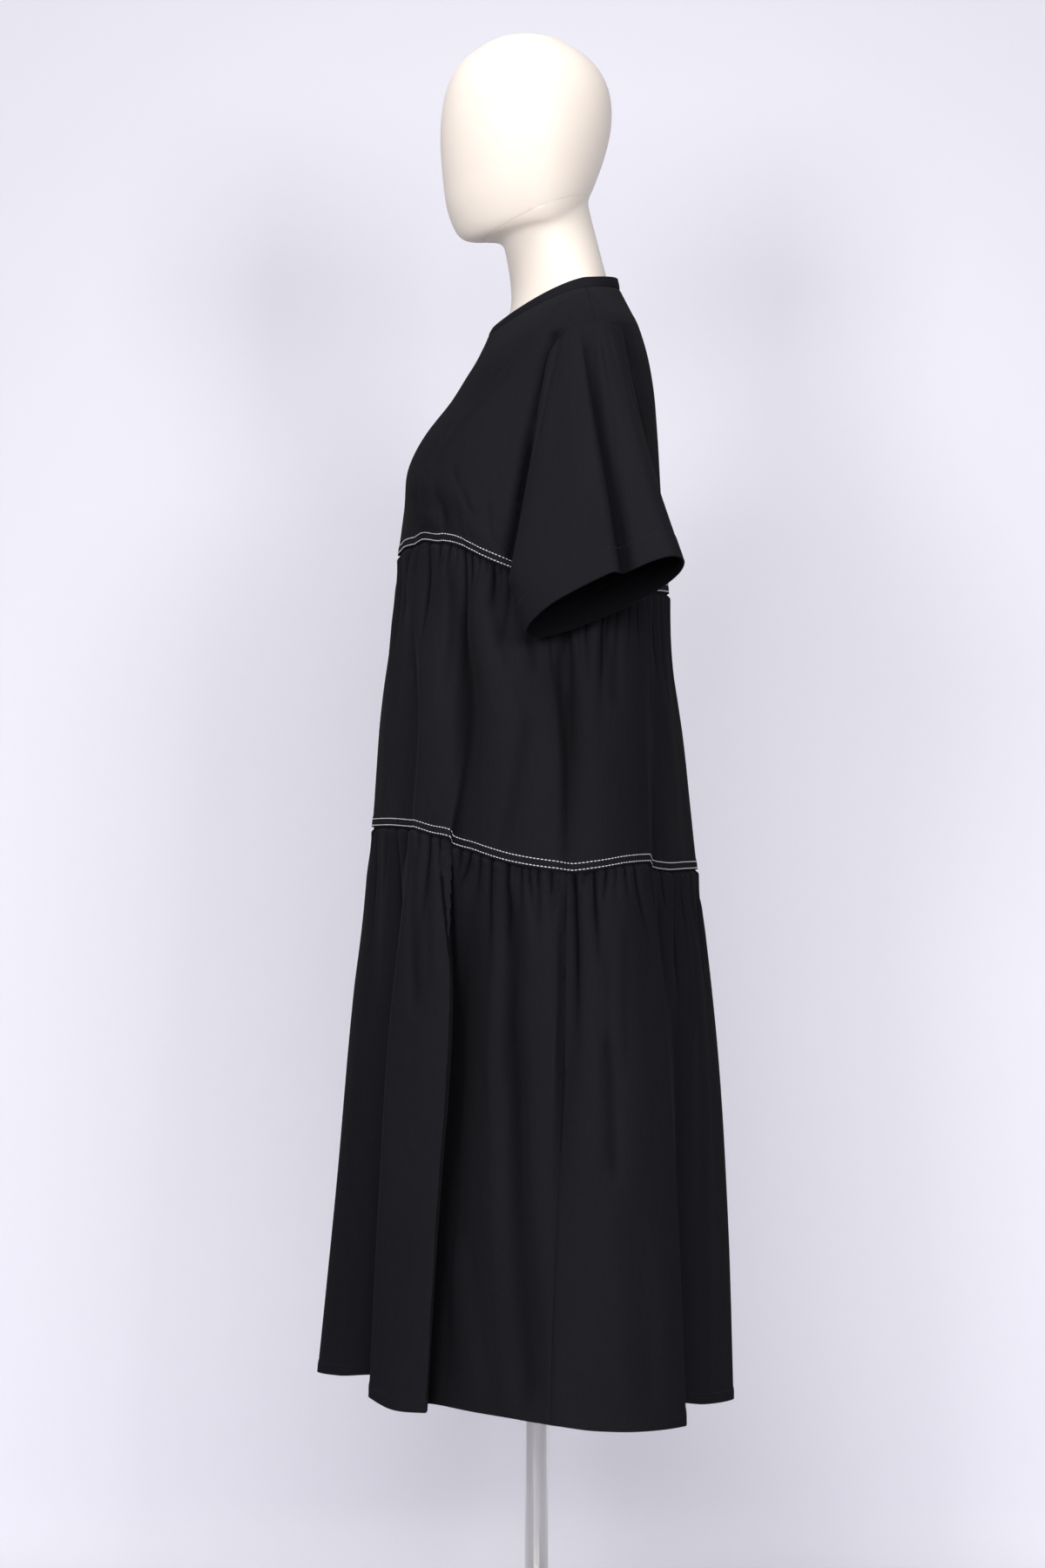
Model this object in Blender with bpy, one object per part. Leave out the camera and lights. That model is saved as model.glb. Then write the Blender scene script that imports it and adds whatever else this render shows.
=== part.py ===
"""Tiered dress on a limbless display form, standing on a round base plate.

Frame: metres, +Z up.  The origin is the centre of the base plate's underside.
+X is the wearer's left, -Y the front and +Y the back.

Every cloth piece is a wall of even thickness on a surface P(angle, t).  The angle
runs round the body: 0 is the left side seam, 90 the centre front, 180 the right side
seam and -90 the centre back.  t runs down the piece from 0 to 1.  Folds and gathers
are heights on that surface, read from the tables below.
"""
import math

import bmesh
import bpy
import numpy as np

# ---------------------------------------------------------------- driving sizes
WALL = 0.0015            # cloth wall
GAP = 0.0003             # clearance between hard pieces
HALF_SEAM = 0.00025      # each cloth piece ends this far short of its seam
MM = 0.001

BODICE_COLUMNS = 30      # columns across the front or the back bodice
MIDDLE_GATHERS = 84      # gathers all round the upper gathered seam
LOWER_GATHERS = 116      # gathers all round the lower gathered seam
MIDDLE_COLUMNS = 42      # columns across half a tier below its gathers
LOWER_COLUMNS = 50
MIDDLE_LENGTH = 0.300    # seam to seam down the cloth
LOWER_LENGTH = 0.575
SLEEVE_COLUMNS = 26

POLE_RADIUS = 0.0125
BASE_RADIUS = 0.180
BASE_THICKNESS = 0.008
BASE_CHAMFER = 0.002
COLLAR_RADIUS = 0.024
COLLAR_HEIGHT = 0.022
FORM_BOTTOM = 0.840
FORM_SEGMENTS = 30
REST_CLEARANCE = 0.0005  # from the form to the inner face of the cloth on its shoulders

# ---------------------------------------------------------------- section tables
# A section is a closed ring.  Its columns: t, the front's y and z, the side's x, y and
# z, the back's y and z, then squareness (1 is an ellipse, less is boxier) and the
# power with which the height changes from side to front or back.
BODICE = (
    # t,   front_y, front_z, side_x, side_y, side_z, back_y, back_z, square, rise
    (0.00, -0.0510, 1.4370, 0.0800, 0.0520, 1.4835, 0.0884, 1.4870, 1.00, 1.35),
    (0.09, -0.0570, 1.4230, 0.1400, 0.0550, 1.4660, 0.1005, 1.4620, 0.92, 1.45),
    (0.17, -0.0670, 1.4030, 0.2030, 0.0596, 1.4376, 0.1085, 1.4440, 0.85, 1.70),
    (0.22, -0.0750, 1.3900, 0.2080, 0.0540, 1.4200, 0.1145, 1.4260, 0.82, 1.90),
    (0.34, -0.0920, 1.3630, 0.2100, 0.0420, 1.3720, 0.1235, 1.3840, 0.80, 2.00),
    (0.47, -0.1180, 1.3290, 0.2150, 0.0320, 1.3160, 0.1280, 1.3360, 0.80, 2.00),
    (0.62, -0.1360, 1.2950, 0.2260, 0.0270, 1.2500, 0.1314, 1.2800, 0.84, 2.00),
    (0.80, -0.1405, 1.2560, 0.2370, 0.0270, 1.2080, 0.1346, 1.2260, 0.92, 2.00),
    (1.00, -0.1455, 1.2110, 0.2450, 0.0280, 1.1680, 0.1386, 1.1710, 1.00, 2.00),
)
MIDDLE_TIER = (
    (0.00, -0.1455, 1.2110, 0.2450, 0.0280, 1.1680, 0.1386, 1.1710, 1.00, 2.00),
    (0.50, -0.1640, 1.0645, 0.2720, 0.0290, 1.0210, 0.1560, 1.0200, 1.00, 2.00),
    (1.00, -0.1740, 0.9180, 0.3000, 0.0300, 0.8740, 0.1685, 0.8700, 1.00, 2.00),
)
LOWER_TIER = (
    (0.00, -0.1740, 0.9180, 0.3000, 0.0300, 0.8740, 0.1685, 0.8700, 1.00, 2.00),
    (0.33, -0.1830, 0.7230, 0.3230, 0.0260, 0.6860, 0.1865, 0.6810, 1.00, 2.00),
    (0.67, -0.1940, 0.5277, 0.3380, 0.0200, 0.4980, 0.1925, 0.4920, 1.00, 2.00),
    (1.00, -0.2074, 0.3320, 0.3480, 0.0110, 0.3100, 0.1997, 0.3030, 1.00, 2.00),
)
BAND = (
    (0.00, -0.0470, 1.4455, 0.0780, 0.0517, 1.4948, 0.0863, 1.4982, 1.00, 1.35),
    (1.00, -0.0510, 1.4370, 0.0800, 0.0520, 1.4835, 0.0884, 1.4870, 1.00, 1.35),
)
# The form below its shoulders, from the flat bottom upward.
FORM_TRUNK = (
    (0.00, -0.0820, 0.8400, 0.1480, 0.0100, 0.8400, 0.1000, 0.8400, 0.92, 2.00),
    (0.10, -0.0900, 0.9000, 0.1640, 0.0100, 0.9000, 0.1100, 0.9000, 0.92, 2.00),
    (0.30, -0.0860, 1.0000, 0.1430, 0.0080, 1.0000, 0.0920, 1.0000, 0.94, 2.00),
    (0.48, -0.0850, 1.0900, 0.1240, 0.0050, 1.0900, 0.0760, 1.0900, 0.96, 2.00),
    (0.66, -0.0980, 1.1900, 0.1360, 0.0080, 1.1900, 0.0900, 1.1900, 0.92, 2.00),
    (0.80, -0.1240, 1.2750, 0.1500, 0.0150, 1.2700, 0.1100, 1.2700, 0.88, 2.00),
    (0.90, -0.1080, 1.3300, 0.1640, 0.0300, 1.3300, 0.1180, 1.3350, 0.85, 2.00),
    (1.00, -0.0810, 1.3790, 0.1860, 0.0460, 1.3900, 0.1160, 1.3980, 0.85, 2.00),
)
# Neck and head, from the root of the neck to the crown.
FORM_HEAD = (
    (0.00, -0.0360, 1.4390, 0.0680, 0.0500, 1.4795, 0.0795, 1.4830, 1.00, 1.35),
    (0.06, -0.0285, 1.4600, 0.0600, 0.0430, 1.4930, 0.0752, 1.4990, 1.00, 1.35),
    (0.12, -0.0262, 1.4800, 0.0560, 0.0350, 1.5080, 0.0715, 1.5140, 1.00, 1.50),
    (0.20, -0.0290, 1.5050, 0.0535, 0.0240, 1.5270, 0.0660, 1.5350, 1.00, 1.50),
    (0.27, -0.0335, 1.5270, 0.0520, 0.0150, 1.5430, 0.0590, 1.5620, 1.00, 1.50),
    (0.32, -0.0360, 1.5400, 0.0520, 0.0110, 1.5540, 0.0548, 1.5800, 1.00, 1.50),
    (0.36, -0.0700, 1.5365, 0.0590, 0.0040, 1.5560, 0.0562, 1.5850, 1.00, 1.50),
    (0.42, -0.0890, 1.5520, 0.0650, 0.0000, 1.5700, 0.0610, 1.5960, 1.00, 1.50),
    (0.54, -0.0998, 1.6000, 0.0730, -0.0050, 1.6100, 0.0710, 1.6220, 1.00, 1.50),
    (0.66, -0.1035, 1.6480, 0.0770, -0.0090, 1.6530, 0.0800, 1.6560, 1.00, 1.50),
    (0.78, -0.0990, 1.6960, 0.0750, -0.0100, 1.6960, 0.0800, 1.6960, 1.00, 1.50),
    (0.89, -0.0770, 1.7350, 0.0590, -0.0110, 1.7350, 0.0570, 1.7350, 1.00, 1.50),
    (0.96, -0.0440, 1.7560, 0.0330, -0.0110, 1.7560, 0.0230, 1.7560, 1.00, 1.50),
)
CROWN = (0.0, -0.0115, 1.7630)

# Where the armhole cuts the bodice, in degrees from the side seam.
ARMHOLE = (
    # t,   front, back
    (0.17, 0.0, 0.0),
    (0.18, 5.0, 19.0),
    (0.22, 10.0, 26.0),
    (0.34, 11.0, 32.0),
    (0.47, 8.5, 29.0),
    (0.57, 4.5, 15.0),
    (0.62, 0.0, 0.0),
)
ARMHOLE_TOP = ARMHOLE[0][0]
ARMHOLE_BOTTOM = ARMHOLE[-1][0]

# ---------------------------------------------------------------- fold tables
# Each row is one soft ridge (height > 0) or trough (< 0).  Columns: the angle at the
# top and bottom of the piece, its half widths toward the front and toward the back of
# that line, all in degrees, and its height at the top and bottom in millimetres.
# Rows of the left side are repeated on the right with the factors below.
BODICE_FOLDS = (
    (66, 63, 24, 22, 0.0, 2.0),
    (60, 52, 12, 8, 0.0, 5.0),
    (44, 41, 8, 8, 0.0, -4.0),
    (30, 29, 9, 8, 0.0, 3.0),
    (8, 7, 10, 9, 0.0, -2.0),
    (-24, -20, 10, 10, 0.0, 3.0),
    (-52, -50, 8, 7, 0.0, -5.0),
    (-64, -63, 8, 8, 0.0, 3.0),
)
MIDDLE_FOLDS = (
    (60, 59, 8, 9, -4.0, -5.0),
    (50, 49, 8, 9, 4.0, 6.0),
    (36, 35, 7, 7, -4.0, -6.0),
    (24, 22, 8, 8, 1.0, 3.0),
    (11, 11, 6, 6, 1.0, -2.0),
    (-5, 0, 7, 7, -16.0, -5.0),
    (-24, -22, 11, 12, 3.0, 4.0),
    (-43, -40, 9, 6, 4.0, 7.0),
    (-49, -46, 5, 6, -3.0, -5.0),
    (-56, -52, 7, 8, 2.0, 4.0),
    (-74, -70, 9, 9, -2.0, -4.0),
)
LOWER_FOLDS = (
    (61, 73, 10, 13, -6.0, -30.0),
    (48, 58, 7, 12, 5.0, 11.0),
    (38, 38, 10, 6, 3.0, 13.0),
    (29, 29, 6, 12, -7.0, -36.0),
    (18, 14, 7, 8, 2.0, 5.0),
    (13, 4, 7, 8, -2.0, -5.0),
    (-4, -6, 6, 8, -5.0, -4.0),
    (-15, -16, 9, 10, 3.0, 10.0),
    (-20, -26, 7, 8, -2.0, -3.0),
    (-38, -44, 12, 6, 6.0, 17.0),
    (-48, -66, 12, 16, -5.0, -38.0),
    (-54, -78, 7, 8, 3.0, 6.0),
)
CENTRE_FOLDS_LOWER = (
    (90, 90, 10, 10, 3.0, 26.0),
    (-90, -92, 9, 9, 2.0, 12.0),
)
RIGHT_SIDE_TURN = -3.0      # degrees by which the right side's folds are off the mirror
RIGHT_SIDE_HEIGHT = 0.85
FOLDS_START = 0.62          # the bodice's t where its folds begin, and where they are full
FOLDS_FULL = 0.82
FOLDS_SETTLE = 0.86         # the bodice's t from which they sink toward the waist seam
WAIST_SHARE = 0.35          # what is left of the folds on the upper gathered seam
KNEE_SHARE = 0.70           # and on the lower one
SEAM_FADE = 0.10            # share of a tier over which the folds settle into a seam

SEAM_RISES = (
    # angle from the front centre to the back centre, and how far the waist seam and the
    # knee seam are drawn up there, in millimetres
    (-90, -8.0, -1.0),
    (-70, -9.0, -1.0),
    (-49, -10.0, -1.5),
    (-35, -11.0, 5.0),
    (-22, -11.5, 4.5),
    (-10, -10.0, -0.5),
    (0, -6.5, -2.5),
    (11, 2.5, 0.5),
    (27, 14.0, 6.0),
    (40, 20.0, 11.5),
    (50, 17.0, 12.0),
    (60, 12.5, 7.5),
    (68, 5.5, 3.0),
    (79, -3.0, -1.5),
    (90, -6.0, -3.0),
)
RISE_START = 0.55           # the bodice's t where the rise of its seam begins
RISE_SHARE = 0.60           # share of a tier over which its seams' rises die away
BUST_ANGLE = 62.0
BUST_SPREAD = 26.0
BUST_HEIGHT = 0.006         # how far the bust stands out, at which t, and how far along
BUST_T = 0.58
BUST_T_SPREAD = 0.34
EVEN_TERMS = (
    # waves round the body that keep the columns even on its oval rings, and their sizes
    (2, 0.130),
    (7, 0.006),
    (12, 0.004),
)
GATHER_HEIGHT = 1.6 * MM
GATHER_RISE = 0.006         # distance below a seam at which the gathers stand full
GATHER_FADE = 0.045
DRAPE_HEIGHT = 2.2 * MM     # the softer waves that the gathers run into
DRAPE_RISE = 0.050
DRAPE_FADE = 0.260
GATHERS_PER_DRAPE = 4

# ---------------------------------------------------------------- sleeve sizes
CUFF_CENTRE = np.array((0.3080, 0.0687, 1.1490))
CUFF_TO_OUTER = np.array((0.0388, 0.0040, 0.0200))
CUFF_TO_FRONT = np.array((-0.0050, -0.0794, -0.0330))
CUFF_SQUARE = 0.88
SLEEVE_START = 0.0023       # first ring of the sleeve, out from the bodice
SLEEVE_BOW = 0.008
ELBOW_SHARE = 0.82          # the front edge turns inward again below here
ELBOW_REACH = 0.0235
BACK_HOLLOW = 0.005         # the back edge of the sleeve hangs slightly hollow
EDGE_SPREAD = 60.0          # degrees round the sleeve that its front or back edge carries along
SLEEVE_FOLDS_FULL = 0.15    # share of the sleeve over which its folds begin
SLEEVE_FOLDS = (
    # share round at top and bottom, widths before and after, heights
    (0.985, 0.970, 0.14, 0.022, 1.0, 6.0),
    (0.955, 0.930, 0.030, 0.06, -1.0, -4.0),
    (0.900, 0.860, 0.05, 0.05, 0.0, 2.0),
    (0.090, 0.110, 0.08, 0.08, 0.0, 2.0),
)
# Where each share of the way round the sleeve meets the armhole: share, then t.
SLEEVE_FRONT = ((0.00, 0.17), (0.25, 0.215), (0.50, 0.62))
SLEEVE_BACK = ((0.50, 0.62), (0.75, 0.182), (1.00, 0.17))

# ---------------------------------------------------------------- rows down each piece
BODICE_ROWS = (0.0, 0.05, 0.10, 0.17, 0.18, 0.22, 0.28, 0.34, 0.41, 0.48, 0.56, 0.62,
               0.72, 0.86, 1.0)
SLEEVE_ROWS = (0.0, 0.12, 0.30, 0.48, 0.66, 0.82, 1.0)
MIDDLE_ROWS = (
    # distance down the cloth, columns across half the tier: two for every gather
    (0.000, BODICE_COLUMNS),
    (0.008, MIDDLE_GATHERS),
    (0.032, MIDDLE_GATHERS),
    (0.075, MIDDLE_COLUMNS),
    (0.130, MIDDLE_COLUMNS),
    (0.190, MIDDLE_COLUMNS),
    (0.250, MIDDLE_COLUMNS),
    (MIDDLE_LENGTH, MIDDLE_COLUMNS),
)
LOWER_ROWS = (
    (0.000, MIDDLE_COLUMNS),
    (0.008, LOWER_GATHERS),
    (0.032, LOWER_GATHERS),
    (0.080, LOWER_COLUMNS),
    (0.150, LOWER_COLUMNS),
    (0.230, LOWER_COLUMNS),
    (0.320, LOWER_COLUMNS),
    (0.410, LOWER_COLUMNS),
    (0.500, LOWER_COLUMNS),
    (LOWER_LENGTH, LOWER_COLUMNS),
)
FORM_TRUNK_ROWS = (0.0, 0.10, 0.20, 0.34, 0.48, 0.60, 0.72, 0.80, 0.88, 0.95)
FORM_SHOULDER_ROWS = (
    # the bodice's t, depth below the cloth it carries
    (0.25, 0.0150),
    (0.205, 0.0080),
    (0.17, 0.0028),
    (0.10, 0.0),
    (0.05, 0.0),
    (0.015, 0.0006),
)
FORM_HEAD_ROWS = (0.0, 0.06, 0.12, 0.20, 0.27, 0.32, 0.36, 0.39, 0.42, 0.48, 0.54, 0.62,
                  0.70, 0.78, 0.84, 0.89, 0.93, 0.96)


# ---------------------------------------------------------------- small maths
def smooth(x):
    """0 below 0, 1 above 1, with a soft start and end."""
    x = np.clip(x, 0.0, 1.0)
    return x * x * (3.0 - 2.0 * x)


def bump(x):
    """1 at 0, falling softly to 0 at -1 and 1."""
    return np.where(np.abs(x) < 1.0, np.cos(np.pi * np.clip(x, -1, 1) / 2) ** 2, 0.0)


def turn(angle):
    """The angle in degrees, between -180 and 180."""
    return (angle + 180.0) % 360.0 - 180.0


def read_table(table, t):
    """A table's columns after the first, read at t along smooth curves."""
    knots = np.array([row[0] for row in table])
    values = np.array([row[1:] for row in table])
    slopes = np.gradient(values, knots, axis=0)
    t = np.clip(np.asarray(t, float), knots[0], knots[-1])
    i = np.clip(np.searchsorted(knots, t, side="right") - 1, 0, len(knots) - 2)
    step = (knots[i + 1] - knots[i])[..., None]
    x = (t - knots[i])[..., None] / step
    start = (1 + 2 * x) * (1 - x) ** 2 * values[i] + x * (1 - x) ** 2 * step * slopes[i]
    end = x * x * (3 - 2 * x) * values[i + 1] + x * x * (x - 1) * step * slopes[i + 1]
    return start + end


def ring_point(section, angle):
    """A point of a section (the nine columns after t) at an angle in degrees."""
    front_y, front_z, side_x, side_y, side_z, back_y, back_z, square, rise = np.moveaxis(
        section, -1, 0)
    cosine = np.cos(np.radians(angle))
    sine = np.sin(np.radians(angle))
    end_y = np.where(sine >= 0, front_y, back_y)
    end_z = np.where(sine >= 0, front_z, back_z)
    x = side_x * np.sign(cosine) * np.abs(cosine) ** square
    y = side_y + (end_y - side_y) * np.abs(sine) ** square
    z = side_z + (end_z - side_z) * np.abs(sine) ** rise
    return np.stack(np.broadcast_arrays(x, y, z), axis=-1)


def plain_surface(table):
    """The surface P(angle, t) through a table's sections."""
    def surface(angle, t):
        angle, t = np.broadcast_arrays(np.asarray(angle, float), np.asarray(t, float))
        return ring_point(read_table(table, t), angle)
    return surface


def normals(surface, angle, t, angle_step=0.35, t_step=0.004):
    """Outward unit normals of a surface, from its slopes both ways."""
    angle, t = np.broadcast_arrays(np.asarray(angle, float), np.asarray(t, float))
    low, high = np.clip(t - t_step, 0, 1), np.clip(t + t_step, 0, 1)
    around = surface(angle + angle_step, t) - surface(angle - angle_step, t)
    down = surface(angle, high) - surface(angle, low)
    normal = np.cross(around, down)
    return normal / np.linalg.norm(normal, axis=-1, keepdims=True)


def raised(surface, height):
    """A surface moved out by height(angle, t)."""
    def moved(angle, t):
        angle, t = np.broadcast_arrays(np.asarray(angle, float), np.asarray(t, float))
        return surface(angle, t) + normals(surface, angle, t) * height(angle, t)[..., None]
    return moved


# ---------------------------------------------------------------- folds and gathers
def fold_height(table, angle, t):
    """Sum of a fold table's ridges and troughs, in metres."""
    total = np.zeros(np.broadcast(angle, t).shape)
    for top, bottom, ahead, behind, top_height, bottom_height in table:
        off = turn(angle - (top + (bottom - top) * t))
        width = np.where(off > 0, ahead, behind)
        total = total + (top_height + (bottom_height - top_height) * t) * bump(off / width)
    return total * MM


def both_sides(table):
    """A fold table with its left side repeated, a little changed, on the right."""
    right = []
    for top, bottom, ahead, behind, top_height, bottom_height in table:
        right.append((180 - top + RIGHT_SIDE_TURN, 180 - bottom + RIGHT_SIDE_TURN,
                      behind, ahead, top_height * RIGHT_SIDE_HEIGHT,
                      bottom_height * RIGHT_SIDE_HEIGHT))
    return tuple(table) + tuple(right)


def even_angle(share):
    """The angle, in degrees, at a share of the way round: even along an oval ring."""
    around = 2 * np.pi * np.asarray(share, float)
    return np.degrees(around + sum(size * np.sin(waves * around)
                                   for waves, size in EVEN_TERMS))


def share_of(angle):
    """The share of the way round at an angle: even_angle read backward."""
    shares = np.linspace(-0.75, 0.75, 2001)
    return np.interp(angle, even_angle(shares), shares)


def gather_height(gathers, share, distance):
    """Fine gathers just below a seam, running into fewer, softer waves."""
    around = 2 * np.pi * share
    uneven = 1.0 + 0.25 * np.sin(5 * around + 0.7) + 0.2 * np.sin(11 * around + 2.0)
    fine = -np.cos(gathers * around) * uneven * GATHER_HEIGHT
    fine = fine * smooth(distance / GATHER_RISE) * np.exp(-distance / GATHER_FADE)
    drapes = gathers / GATHERS_PER_DRAPE
    soft = -np.cos(drapes * around + 0.9 * np.sin(3 * around)) * uneven * DRAPE_HEIGHT
    return fine + soft * smooth(distance / DRAPE_RISE) * np.exp(-distance / DRAPE_FADE)


def seam_rise(angle, seam):
    """How far seam 0, at the waist, or 1, at the knee, is drawn up, in metres."""
    angle = turn(angle)
    folded = np.where(np.abs(angle) > 90.0, np.sign(angle) * 180.0 - angle, angle)
    return read_table(SEAM_RISES, folded)[..., seam] * MM


def bust_share(angle):
    """1 at each bust point, falling to 0 beside it."""
    left = bump(turn(angle - BUST_ANGLE) / BUST_SPREAD)
    right = bump(turn(angle - 180 + BUST_ANGLE) / BUST_SPREAD)
    return left + right


# ---------------------------------------------------------------- the cloth's surfaces
def bodice_surface():
    """Bodice from the neck seam to the waist seam, with the bust and its drape."""
    base = plain_surface(BODICE)
    folds = both_sides(BODICE_FOLDS)

    def lifted(angle, t):
        point = base(angle, t)
        point[..., 2] += seam_rise(angle, 0) * smooth((t - RISE_START) / (1 - RISE_START))
        return point

    def height(angle, t):
        near_bust = bump((t - BUST_T) / BUST_T_SPREAD)
        bust = bust_share(angle) * BUST_HEIGHT * near_bust
        drape = fold_height(folds, angle, t)
        drape = drape * smooth((t - FOLDS_START) / (FOLDS_FULL - FOLDS_START))
        settled = smooth((t - FOLDS_SETTLE) / (1 - FOLDS_SETTLE))
        return bust + drape * (1 - (1 - WAIST_SHARE) * settled)
    return raised(lifted, height)


def tier_surface(table, folds, gathers, length, top_fold, bottom_fold=None):
    """A gathered tier.  Its folds meet the neighbours' at the shared seams."""
    base = plain_surface(table)

    def lifted(angle, t):
        point = base(angle, t)
        top_seam, bottom_seam = (0, 1) if table is MIDDLE_TIER else (1, None)
        point[..., 2] += seam_rise(angle, top_seam) * (1 - smooth(t / RISE_SHARE))
        if bottom_seam is not None:
            lower = smooth((t - 1 + RISE_SHARE) / RISE_SHARE)
            point[..., 2] += seam_rise(angle, bottom_seam) * lower
        return point

    def height(angle, t):
        own = fold_height(folds, angle, t)
        own = own + gather_height(gathers, share_of(turn(angle)), t * length)
        at_top = 1 - smooth(t / SEAM_FADE)
        own = own * (1 - at_top) + top_fold(angle) * at_top
        if bottom_fold is None:
            return own
        at_bottom = smooth((t - 1 + SEAM_FADE) / SEAM_FADE)
        return own * (1 - at_bottom) + bottom_fold(angle) * at_bottom
    return raised(lifted, height)


def waist_fold(angle):
    """Fold height on the upper gathered seam, the same for both its pieces."""
    return fold_height(both_sides(BODICE_FOLDS), angle, 1.0) * WAIST_SHARE


def knee_fold(angle):
    """Fold height on the lower gathered seam, the same for both its pieces."""
    return fold_height(both_sides(MIDDLE_FOLDS), angle, 1.0) * KNEE_SHARE


def armhole_point(surface, share):
    """A point of the armhole at a share of the way round, from the shoulder forward."""
    share = np.asarray(share, float) % 1.0
    front_t = read_linear(SLEEVE_FRONT, share)
    back_t = read_linear(SLEEVE_BACK, share)
    is_front = share <= 0.5
    t = np.where(is_front, front_t, back_t)
    cut = read_table(ARMHOLE, t)
    angle = np.where(is_front, cut[..., 0], -cut[..., 1])
    return surface(angle, t) + normals(surface, angle, t) * SLEEVE_START


def read_linear(pairs, x):
    """A two-column table read along straight lines."""
    return np.interp(x, [pair[0] for pair in pairs], [pair[1] for pair in pairs])


def sleeve_surface(bodice):
    """Left sleeve: ruled from the armhole to the cuff, bowed, with its long folds."""
    def cuff(share):
        around = 2 * np.pi * share
        cosine, sine = np.cos(around), np.sin(around)
        outward = np.sign(cosine) * np.abs(cosine) ** CUFF_SQUARE
        forward = np.sign(sine) * np.abs(sine) ** CUFF_SQUARE
        return CUFF_CENTRE + outward[..., None] * CUFF_TO_OUTER + forward[..., None] * CUFF_TO_FRONT

    def ruled(angle, t):
        angle, t = np.broadcast_arrays(np.asarray(angle, float), np.asarray(t, float))
        share = angle / 360.0
        start = armhole_point(bodice, share)
        down = t[..., None]
        point = start * (1 - down) + cuff(share) * down
        outer = np.maximum(np.cos(2 * np.pi * share), 0.0)
        point[..., 0] += SLEEVE_BOW * outer * np.sin(np.pi * t)
        reach = np.where(t < ELBOW_SHARE, t / ELBOW_SHARE, (1 - t) / (1 - ELBOW_SHARE))
        near_front = bump(turn(angle - 90.0) / EDGE_SPREAD)
        near_back = bump(turn(angle + 90.0) / EDGE_SPREAD)
        point[..., 1] -= ELBOW_REACH * reach * near_front
        point[..., 1] -= BACK_HOLLOW * np.sin(np.pi * t) * near_back
        return point

    def height(angle, t):
        share = (angle / 360.0) % 1.0
        total = np.zeros(share.shape)
        for top, bottom, before, after, top_height, bottom_height in SLEEVE_FOLDS:
            off = (share - (top + (bottom - top) * t) + 0.5) % 1.0 - 0.5
            width = np.where(off > 0, after, before)
            size = top_height + (bottom_height - top_height) * t
            total = total + size * bump(off / width)
        return total * MM * smooth(t / SLEEVE_FOLDS_FULL)
    return raised(ruled, height)


# ---------------------------------------------------------------- meshes
def strip_faces(upper, lower, closed):
    """Faces between two rows of vertex numbers, whose counts may differ."""
    if closed:
        upper, lower = upper + upper[:1], lower + lower[:1]
    faces = []
    if len(upper) == len(lower):
        for k in range(len(upper) - 1):
            faces.append((upper[k], upper[k + 1], lower[k + 1], lower[k]))
        return faces
    i = j = 0
    while i < len(upper) - 1 or j < len(lower) - 1:
        next_upper = (i + 1) / (len(upper) - 1)
        next_lower = (j + 1) / (len(lower) - 1)
        if j == len(lower) - 1 or (i < len(upper) - 1 and next_upper <= next_lower):
            faces.append((upper[i], upper[i + 1], lower[j]))
            i += 1
        else:
            faces.append((upper[i], lower[j + 1], lower[j]))
            j += 1
    return faces


def material(name, colour, roughness, metallic=0.0):
    """A plain Principled material."""
    made = bpy.data.materials.new(name)
    made.use_nodes = True
    shader = made.node_tree.nodes["Principled BSDF"]
    shader.inputs["Base Color"].default_value = (*colour, 1.0)
    shader.inputs["Roughness"].default_value = roughness
    shader.inputs["Metallic"].default_value = metallic
    return made


def add_object(name, points, faces, look, sharp_angle=50.0):
    """One named object from points and faces, its normals facing out."""
    mesh = bpy.data.meshes.new(name)
    mesh.from_pydata([tuple(point) for point in points], [], faces)
    shape = bmesh.new()
    shape.from_mesh(mesh)
    bmesh.ops.recalc_face_normals(shape, faces=shape.faces)
    shape.to_mesh(mesh)
    shape.free()
    mesh.shade_smooth()
    mesh.set_sharp_from_angle(angle=math.radians(sharp_angle))
    mesh.materials.append(look)
    made = bpy.data.objects.new(name, mesh)
    bpy.context.collection.objects.link(made)
    return made


def cloth_wall(name, rows, look, closed=False):
    """A cloth wall from rows of (points, normals) on its middle surface."""
    points, outer, inner = [], [], []
    for side, numbers in ((0.5, outer), (-0.5, inner)):
        for middle, normal in rows:
            numbers.append(list(range(len(points), len(points) + len(middle))))
            points.extend(middle + normal * side * WALL)
    faces = []
    for k in range(len(rows) - 1):
        faces += strip_faces(outer[k], outer[k + 1], closed)
        faces += [face[::-1] for face in strip_faces(inner[k], inner[k + 1], closed)]
    faces += strip_faces(inner[0], outer[0], closed)
    faces += strip_faces(outer[-1], inner[-1], closed)
    if not closed:
        faces += strip_faces([row[0] for row in outer], [row[0] for row in inner], False)
        faces += strip_faces([row[-1] for row in inner], [row[-1] for row in outer], False)
    return add_object(name, points, faces, look)


def seam_normals(surface, angle, t, neighbour=None):
    """Normals of a row.  A neighbour, given with its t, shares the row and its normals."""
    own = normals(surface, angle, t)
    if neighbour is not None:
        other, other_t = neighbour
        own = own + normals(other, angle, other_t)
    return own / np.linalg.norm(own, axis=-1, keepdims=True)


def half_row(surface, t, angle, neighbour=None):
    """A row between two side seams, whose ends stop just short of those seams."""
    middle = surface(angle, t)
    for end, inside in ((0, 1), (-1, -2)):
        along = middle[inside] - middle[end]
        middle[end] += along / np.linalg.norm(along) * HALF_SEAM
    return middle, seam_normals(surface, angle, t, neighbour)


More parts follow.
